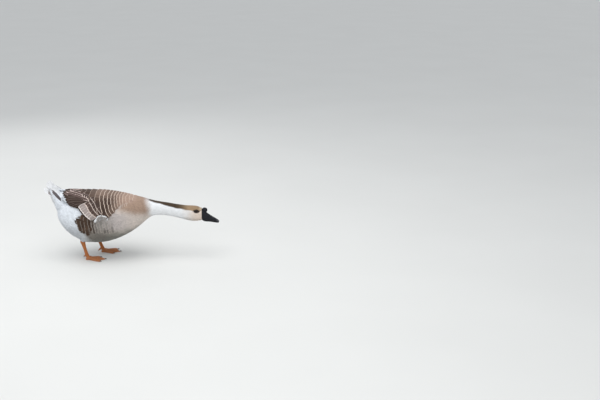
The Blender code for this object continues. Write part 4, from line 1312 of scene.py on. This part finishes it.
FAN = ((0, 0.30), (0.3, 0.55), (0.65, 0.90), (0.85, 1.0), (0.95, 0.86), (1, 0.42))
fan_vane = Vane(8, 12, FAN, bow=0.03, dome=0.05)
FAN_COUNT, FAN_ROOT, FAN_REACH = 16, 0.012, 0.1215
FAN_RISE_AT = 0.124  # the distance along the tail at which the fan's rise is given
tail = Coat("tail_feathers", 25)
share = (np.arange(FAN_COUNT) + 0.5) * 2 / FAN_COUNT - 1  # from -1 at the right to 1 at the left
outer = np.abs(share) > 0.6
angle = share * math.radians(24) + np.sign(share) * outer * math.radians(7)
reach = FAN_REACH - 0.001 * (np.arange(FAN_COUNT) % 2)
forth = FAN_ROOT + (reach[:, None] - FAN_ROOT) * fan_vane.rows
up = 0.0012 + (0.006 - 0.003 * share ** 2 - 0.013 * outer)[:, None] * forth / FAN_RISE_AT
up = up + 0.0016 * (0.5 - np.abs(share))[:, None]
aside = 0.022 * share[:, None] + np.sin(angle)[:, None] * forth
spine = tail_place(np.cos(angle)[:, None] * forth, aside, up)
ways = unit(np.gradient(spine, axis=1))
ups = np.broadcast_to(TAIL_UP, spine.shape) + LEFT * (0.10 * share)[:, None, None]
ups = unit(ups - ways * (ups * ways).sum(-1)[..., None])
tone = tinted(each3((0.34, 0.31, 0.305), FAN_COUNT), tail.random, 0.05)
tail.dress(fan_vane, spine, ways, ups, np.zeros((FAN_COUNT, 2)), reach - FAN_ROOT, 0.0235, tone, WHITE,
           depth=0, lift=0.0, roll=0.02 * np.sign(share), rag=0.004, edge_share=1.0, tip_edge=0.030,
           side_edge=0.0030, shaft=0.5, patch=0)
tail_fan = tail.build(vane_finish)
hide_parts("tail")

# %% [markdown]
# ## Tail coverts
# Long white feathers lie over and under the fan in rows. Their roots are found by looking at the form
# square to the tail's upper face, from above and from below, and underneath the rows begin nearer to
# the body. On each side four dark narrow feathers make the grey streak at the root of the tail: the
# grey-brown of the tail feathers there, darkened with painted shade.


# %% Tail coverts
COVERT = ((0, 0.36), (0.25, 0.80), (0.55, 1.0), (0.8, 0.88), (0.93, 0.56), (1, 0.22))
# The tail's grey-brown, darkened with painted shade.
STREAK_AND_SHADE = np.array((0.105, 0.090, 0.095))
covert_vane = Vane(6, 6, COVERT, bow=0.03, dome=0.08)


def lay_coverts(coat, up, first_row, half_widths, deepest, highest):
    """Rows of white feathers on the upper (1) or the lower (-1) side of the tail."""
    for forth in np.arange(first_row, 0.088, 0.0070):
        half = along(forth, *half_widths)
        spots = np.linspace(-half, half, int(2 * half / 0.0080))
        spots = spots + coat.random.normal(0, 0.0012, len(spots))
        starts = tail_place(forth + coat.random.normal(0, 0.0012, len(spots)), spots, 0.10 * up)
        hits = [surface.tree.ray_cast(Vector(start), Vector(-up * TAIL_UP))[0] for start in starts]
        good = [hit is not None and abs((np.array(hit) - TAIL_ROOT) @ TAIL_UP) < deepest for hit in hits]
        start, spots = np.array([tuple(hit) for hit, ok in zip(hits, good) if ok]), spots[good]
        length = np.minimum(0.036, 0.1150 - forth - 0.15 * np.abs(spots))
        tone = tinted(each3(WHITE * 0.88, len(spots)), coat.random, 0.03)
        coat.lay(covert_vane, start, TAIL_AXIS + LEFT * (spots * 2.2)[:, None], length, 0.0150, tone,
                 WHITE, bend=0.22, depth=0.0030, lift=coat.random.uniform(0.0005, highest, len(spots)),
                 roll=coat.random.normal(0, 0.05, len(spots)), rag=0.04, soft=0.6)


coverts = Coat("coat_tail_coverts", 26)
lay_coverts(coverts, up=1, first_row=0.022, deepest=0.030, highest=0.0065,
            half_widths=((0.0, 0.041), (0.060, 0.036), (0.088, 0.032)))
lay_coverts(coverts, up=-1, first_row=-0.008, deepest=0.06, highest=0.001,
            half_widths=((0.0, 0.055), (0.03, 0.053), (0.060, 0.050), (0.088, 0.042)))
for side in (-1, 1):
    for number, up in enumerate((0.008, 0.012, 0.016, 0.020)):
        start = surface.nearest(tail_place(0.008 + 0.003 * number, side * 0.053, up)[None])[0]
        heading = TAIL_AXIS - TAIL_UP * 0.10 - LEFT * 0.08 * side
        coverts.lay(long_vane, start, heading, 0.066, 0.0100, STREAK_AND_SHADE, WHITE, bend=0.10, depth=-0.0022,
                    lift=0.0030, rag=0.02, edge_share=0.6, tip_edge=0.006, side_edge=0.0006, soft=0.4,
                    patch=0)
coverts.build(body_finish)

# %% [markdown]
# ## Eyes and lids
# A goose's eye is a dark brown ball, of which the lids leave an almond about 11 mm long open. The
# ball starts as a UV sphere with its pole looking out, so that its own UV map runs from the pole
# back, and the iris and pupil are rings on that map. The lids start as a circle, which is extruded
# ring by ring over the rim of the opening and down under the feathers, and then pulled to an almond.


# %% Finish of the eyes and lids
iris = Finish("eye_brown", (0.05, 0.02, 0.01), 0.15, coat_weight=0.12, coat_roughness=0.03,
              specular_ior_level=0.15)
globe = iris.add("SeparateXYZ", {0: iris.add("UVMap", uv_map="UVMap").outputs[0]})
polar = 1.0 - iris.number(globe, 1)  # 0 where the eye looks, 1 at its back
fibres = iris.noise(9, 2, place=iris.add("UVMap", uv_map="UVMap").outputs[0], stretch=(9, 0.6, 1))
brown = iris.mix(fibres, (0.014, 0.007, 0.004), (0.040, 0.018, 0.009))
brown = iris.mix(iris.rise(polar, 0.185, 0.235), brown, (0.014, 0.007, 0.005))
iris.set("Base Color", iris.mix(iris.rise(polar, 0.112, 0.100), brown, (0.004, 0.004, 0.005)))
iris.bump(fibres, 0.0001, 0.3)
lid_finish = Finish("eyelid", (0.04, 0.03, 0.025), 0.6, specular_ior_level=0.25)
creases = lid_finish.noise(1800, 3)
lid_finish.set("Base Color", lid_finish.mix(creases, (0.010, 0.008, 0.007), (0.034, 0.025, 0.020)))
lid_finish.bump(creases, 0.0003, 0.7)


# %% Eyes
BALL, CORNEA_EDGE = 0.0085, 36  # the ball's radius, and how many degrees the bulge reaches
LID_RINGS = ((0.00575, 0.00630), (0.00590, 0.00668), (0.00625, 0.00684), (0.00670, 0.00668),
             (0.00730, 0.00605), (0.00800, 0.00510), (0.00880, 0.00400))  # radius and height


def look(side):
    """Turns +Z to where the eye looks and +X to the bill, and moves the origin to the eye."""
    centre = EYE * (1, side, 1)
    _, out, _ = surface.nearest(centre[None] + (0.002, side * 0.02, 0.001))
    out = Vector(out[0]).normalized()
    ahead = (Vector((1, 0, -0.25)) - out * out.dot(Vector((1, 0, -0.25)))).normalized()
    turn = Matrix((ahead, out.cross(ahead), out)).transposed().to_4x4()
    return Matrix.Translation(centre) @ turn


def make_eye(side, word):
    """An eyeball with a bulge where the cornea is."""
    bpy.ops.object.select_all(action="DESELECT")
    bpy.ops.mesh.primitive_uv_sphere_add(segments=40, ring_count=28, radius=BALL)
    eye = bpy.context.object
    eye.name = "eyeball_" + word
    points, _ = arrays(eye.data)
    slant = np.degrees(np.arccos(np.clip(points[:, 2] / BALL, -1, 1)))
    points *= (1 + 0.07 * np.clip(1 - (slant / CORNEA_EDGE) ** 2, 0, 1) ** 1.5)[:, None]
    put_points(eye.data, points)
    eye.data.transform(look(side))
    eye.data.shade_smooth()
    eye.data.materials.append(iris.material)
    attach(eye, "root")
    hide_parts("eye_" + word)


def make_lids(side, word):
    """The two lids as one ring, drawn out at its corners."""
    bpy.ops.object.select_all(action="DESELECT")
    radius, height = LID_RINGS[0]
    bpy.ops.mesh.primitive_circle_add(vertices=48, radius=radius, location=(0, 0, height))
    lids = bpy.context.object
    lids.name = "lids_" + word
    bpy.ops.object.transform_apply(location=True)
    bpy.ops.object.mode_set(mode="EDIT")
    bpy.ops.mesh.select_all(action="SELECT")
    for (near, low), (far, high) in zip(LID_RINGS, LID_RINGS[1:]):
        bpy.ops.mesh.extrude_region_move(TRANSFORM_OT_translate={"value": (0, 0, high - low)})
        bpy.ops.transform.resize(value=(far / near, far / near, 1), center_override=(0, 0, 0))
    bpy.ops.object.mode_set(mode="OBJECT")
    points, _ = arrays(lids.data)
    spread = np.linalg.norm(points[:, :2], axis=1)
    around = np.arctan2(points[:, 1], points[:, 0])
    inner_share = ease(0.0086, 0.0052, spread)
    corner = 1 + inner_share * (0.30 * np.abs(np.cos(around)) ** 10)
    points[:, 0] *= (1 + 0.06 * inner_share) * corner
    points[:, 1] *= 1 - 0.22 * inner_share
    points[:, 2] -= inner_share * 0.0005 * np.abs(np.cos(around)) ** 8
    put_points(lids.data, points)
    lids.data.transform(look(side))
    apply(lids, "SOLIDIFY", thickness=0.0005, offset=-1)
    apply(lids, "SUBSURF", levels=1, render_levels=1)
    lids.data.shade_smooth()
    lids.data.materials.append(lid_finish.material)
    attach(lids, "root")


for side, word in ((-1, "right"), (1, "left")):
    make_eye(side, word)
    make_lids(side, word)
print("eyes at", [round(v, 4) for v in EYE])

# %% [markdown]
# ## Bill and knob
# On the bird the horny knob grows out of the root of the bill without a seam, so a rounder knob, an
# ellipsoid in the place of the knob's solid, is joined with a swollen copy of the upper bill, and both
# are remeshed finely and smoothed, most where they meet. The nostril, the nail at the tip and the
# groove above the mouth are then pressed into the mesh by moving its points, as a sculptor would.


# %% Finish of the bill
bill_finish = Finish("bill_black", (0.013, 0.014, 0.018), 0.5, specular_ior_level=0.14)
grain = bill_finish.noise(900, 4)
patches = bill_finish.noise(110, 3)
streaks = bill_finish.noise(260, 3, stretch=(0.25, 1, 1))
tone = bill_finish.mix(patches, (0.007, 0.0075, 0.010), (0.019, 0.020, 0.025))
x_place = bill_finish.number(bill_finish.add("SeparateXYZ", {0: bill_finish.place()}), 0)
# The nail at the tip is paler: partly paler horn, and partly a painted highlight on the bill's tip.
nail_and_highlight = bill_finish.rise(x_place + (patches - 0.5) * 0.003, 0.4215, 0.4260)
bill_finish.set("Base Color", bill_finish.mix(nail_and_highlight, tone, (0.045, 0.046, 0.050)))
bill_finish.set("Roughness", 0.40 + patches * 0.22 + grain * 0.08)
bill_finish.bump(grain * 0.5 + streaks, 0.0004, 0.7)
print("finish", bill_finish.material.name)


# %% Upper bill and knob
def fine_copy(name, *nodes, swell, voxel, rounds, more=()):
    """Solids fused in one fine, smooth mesh, with any other pieces."""
    thing = copy_of(name, *nodes, swell=swell)
    if more:
        only(thing, *more)
        bpy.ops.object.join()
    apply(thing, "REMESH", mode="VOXEL", voxel_size=voxel, use_smooth_shade=True)
    thing = keep_largest(thing)
    apply(thing, "SMOOTH", factor=0.5, iterations=rounds)
    thing.name = thing.data.name = name
    return thing


def bump_shape(p, centre, slope, long, high):
    """1 at the middle of a tilted oval on either side, 0 far from it, and its distance from it."""
    c, s = math.cos(math.radians(slope)), math.sin(math.radians(slope))
    a, b = p[:, 0] - centre[0], p[:, 2] - centre[1]
    gap = np.sqrt(((a * c + b * s) / long) ** 2 + ((b * c - a * s) / high) ** 2)
    return np.exp(-gap ** 2), gap


bpy.ops.object.select_all(action="DESELECT")
bpy.ops.mesh.primitive_uv_sphere_add(segments=32, ring_count=24, location=(0.3637, 0, 0.2465),
                                     scale=(0.0148, 0.0125, 0.0133))
knob = bpy.context.object
bpy.ops.object.transform_apply(location=True, scale=True)
BILL_VOXEL = 0.0008  # fine enough for the nostrils
upper = fine_copy("bill_upper_and_knob", "bill_upper", swell=0.0005, voxel=BILL_VOXEL, rounds=10,
                  more=(knob,))
points, _ = arrays(upper.data)
around = np.linalg.norm(points - (0.366, 0, 0.240), axis=1)
root = upper.vertex_groups.new(name="root")
root.add(np.flatnonzero((around < 0.024) & (points[:, 0] > 0.353)).tolist(), 1.0, "REPLACE")
apply(upper, "SMOOTH", factor=0.5, iterations=64, vertex_group="root")
upper.vertex_groups.clear()

# %% Nostrils, nail and groove
points, normals = arrays(upper.data)
flank_side = ease(0.3, 0.8, np.abs(normals[:, 1]))
pit, _ = bump_shape(points, (0.3830, 0.2145), -30, 0.0105, 0.0042)
slit, gap = bump_shape(points, (0.3850, 0.2130), -26, 0.0042, 0.0013)
lip = np.exp(-((gap - 1.75) / 0.5) ** 2)
groove, _ = bump_shape(points, (0.3900, 0.2022), -10, 0.0300, 0.0009)
nail_gap = np.sqrt(((points[:, 0] - 0.4330) / 0.0085) ** 2 + (points[:, 1] / 0.0062) ** 2)
on_top = ease(0.0, 0.5, normals[:, 2] + 0.3 * normals[:, 0])
nail_rim = np.exp(-((nail_gap - 1.12) / 0.12) ** 2)
nail = on_top * (0.0007 * ease(1.05, 0.75, nail_gap) - 0.0003 * nail_rim)
move = -0.0007 * pit * flank_side - 0.0022 * slit * flank_side + 0.00035 * lip * flank_side
move += nail - 0.0004 * groove * flank_side
wrinkle = 0.00012 * np.sin(points[:, 0] / 0.00042) * ease(0.362, 0.354, points[:, 0]) * flank_side
put_points(upper.data, points + normals * (move + wrinkle)[:, None])
upper.data.materials.append(bill_finish.material)
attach(upper, "root")
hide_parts("bill_upper", "knob")

# %% Lower bill
lower = fine_copy("bill_lower_half", "bill_lower", swell=0.0002, voxel=BILL_VOXEL, rounds=9)
lower.data.materials.append(bill_finish.material)
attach(lower, "root")
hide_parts("bill_lower")
print("bill", len(upper.data.vertices) + len(lower.data.vertices), "points")

# %% [markdown]
# ## Lamellae
# A goose cuts grass with small horny teeth along both edges of the mouth. One bevelled block is made
# and copied. Each copy stands on the rim of the lower bill, which is found as the point furthest out
# and up near that place.

# %% Lamellae
FIRST_TOOTH, LAST_TOOTH, TOOTH_STEP = 0.3590, 0.4200, 0.0017
bpy.ops.object.select_all(action="DESELECT")
bpy.ops.mesh.primitive_cube_add(size=1.0)
tooth = bpy.context.object
bpy.ops.object.mode_set(mode="EDIT")
bpy.ops.mesh.select_all(action="SELECT")
bpy.ops.transform.resize(value=(0.00075, 0.0014, 0.0018), center_override=(0, 0, 0))
bpy.ops.mesh.bevel(offset=0.00022, segments=1)
bpy.ops.object.mode_set(mode="OBJECT")
teeth = []
lower_points, _ = arrays(lower.data)
for side in (-1, 1):
    for place in np.arange(FIRST_TOOTH, LAST_TOOTH, TOOTH_STEP):
        near = lower_points[np.abs(lower_points[:, 0] - place) < 0.0012]
        rim = near[np.argmax(near[:, 1] * side + 0.5 * near[:, 2])]
        twin = bpy.data.objects.new("tooth", tooth.data.copy())
        scene.collection.objects.link(twin)
        twin.data.transform(Matrix.Translation((place, rim[1] - side * 0.0009, rim[2] + 0.0004)))
        teeth.append(twin)
bpy.data.objects.remove(tooth, do_unlink=True)
only(*teeth)
bpy.ops.object.join()
lamellae = teeth[0]
lamellae.name = lamellae.data.name = "bill_lamellae"
horn = Finish("horn_pale", (0.09, 0.08, 0.075), 0.45)
horn.set("Base Color", horn.mix(horn.noise(500), (0.06, 0.055, 0.05), (0.14, 0.125, 0.11)))
horn.bump(horn.noise(2500, 2), 0.0001, 0.5)
lamellae.data.materials.append(horn.material)
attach(lamellae, "root")
print("lamellae", len(teeth))

# %% [markdown]
# ## Legs, feet and claws
# The bare leg is one scaly skin from the hock to the toes, so shank, foot and hind toe are fused.
# Broad scutes cross the front of the shank and the tops of the toes: shallow steps in the mesh. The
# small scales of the sides and of the webs are too many to model, and are cells of a Voronoi pattern
# in the finish, with dark lines between them. The claws are separate pieces of dark horn.

# %% Finish of the legs and claws
leg_finish = Finish("leg_orange", (0.5, 0.19, 0.06), 0.5, specular_ior_level=0.3)
place = leg_finish.place()
warp = leg_finish.noise(300, 2, output=1)
near_scale = leg_finish.mix(0.0016, place, warp.socket, "ADD")
cells = leg_finish.add("TexVoronoi", {"Vector": near_scale, "Scale": 780.0}, feature="DISTANCE_TO_EDGE")
lines = leg_finish.rise(leg_finish.number(cells), 0.16, 0.02)
patches = leg_finish.noise(70, 3)
fine = leg_finish.noise(1500, 2)
tone = leg_finish.mix(patches, (0.32, 0.100, 0.026), (0.50, 0.175, 0.048))
tone = leg_finish.mix(lines * 0.30, tone, (0.20, 0.062, 0.022))
height_z = leg_finish.number(leg_finish.add("SeparateXYZ", {0: place}), 2)
dust = leg_finish.rise(height_z + (patches - 0.5) * 0.03, 0.028, 0.004) * 0.30
leg_finish.set("Base Color", leg_finish.mix(dust, tone, (0.30, 0.17, 0.10)))
leg_finish.set("Roughness", 0.40 + patches * 0.20 + lines * 0.15)
leg_finish.bump(fine * 0.25 - lines, 0.0003, 0.8)
claw_finish = Finish("claw_horn", (0.045, 0.035, 0.03), 0.4)
lengthwise = claw_finish.noise(600, 3, stretch=(0.2, 1, 1))
claw_finish.set("Base Color", claw_finish.mix(lengthwise, (0.028, 0.022, 0.020), (0.085, 0.066, 0.055)))
claw_finish.set("Roughness", 0.32 + lengthwise * 0.25)
claw_finish.bump(lengthwise, 0.0002, 0.5)
print("finishes", leg_finish.material.name, claw_finish.material.name)


# %% Scutes
def steps(distance, pitch):
    """A row of rounded scutes: each rises slowly and ends in a short drop."""
    share = (distance / pitch) % 1.0
    return np.minimum(share / 0.82, (1 - share) / 0.18)


TOES = ((26.0, 0.068), (0.0, 0.090), (-27.0, 0.081))  # degrees inwards and length to the claw
ANKLE = (0.026, 0.034)  # the shank's scutes fade out between these heights


def scutes(points, normals, side, heel):
    """How far each point of a leg moves out for the scutes of its shank and toes."""
    above = ease(*ANKLE, points[:, 2])
    shank = above * ease(0.25, 0.75, normals[:, 0])
    move = 0.00035 * shank * (steps(points[:, 2], 0.0042) - 0.5)
    back_ridge = above * ease(-0.3, -0.8, normals[:, 0])
    move += 0.00018 * back_ridge * (steps(points[:, 2], 0.0026) - 0.5)
    for angle, length in TOES:
        turn = math.radians(-angle * side)
        ray = np.array((math.cos(turn), math.sin(turn)))
        away = points[:, :2] - heel[:2]
        forth = away @ ray
        beside = np.abs(away @ np.array((-ray[1], ray[0])))
        toe = ease(0.0068, 0.0040, beside) * ease(0.010, 0.018, forth) * ease(0.3, 0.8, normals[:, 2])
        move += 0.00034 * toe * (steps(forth, 0.0036) - 0.5) * (forth < length + 0.004)
    return move


# %% Legs
for side, word, heel in zip((-1, 1), ("right", "left"), HEELS):
    parts = [part + word for part in ("shank_", "foot_", "hind_toe_")]
    leg = fine_copy("leg_" + word, *parts, swell=0.0005, voxel=0.0009, rounds=4)
    points, _ = arrays(leg.data)
    group = leg.vertex_groups.new(name="shank")
    group.add(np.flatnonzero(points[:, 2] > ANKLE[0]).tolist(), 1.0, "REPLACE")
    apply(leg, "SMOOTH", factor=0.5, iterations=14, vertex_group="shank")
    leg.vertex_groups.clear()
    points, normals = arrays(leg.data)
    put_points(leg.data, points + normals * scutes(points, normals, side, heel)[:, None])
    leg.data.materials.append(leg_finish.material)
    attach(leg, "root")
    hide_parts(*parts)
    names = [f"claw_{toe}_{word}" for toe in ("inner", "middle", "outer", "hind")]
    claws = copy_of("claws_" + word, *names)
    apply(claws, "REMESH", mode="VOXEL", voxel_size=0.0004, use_smooth_shade=True)
    apply(claws, "SMOOTH", factor=0.5, iterations=4)
    claws.data.materials.append(claw_finish.material)
    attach(claws, "root")
    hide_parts(*names)
    print(leg.name, len(leg.data.polygons), "faces", claws.name, len(claws.data.polygons), "faces")
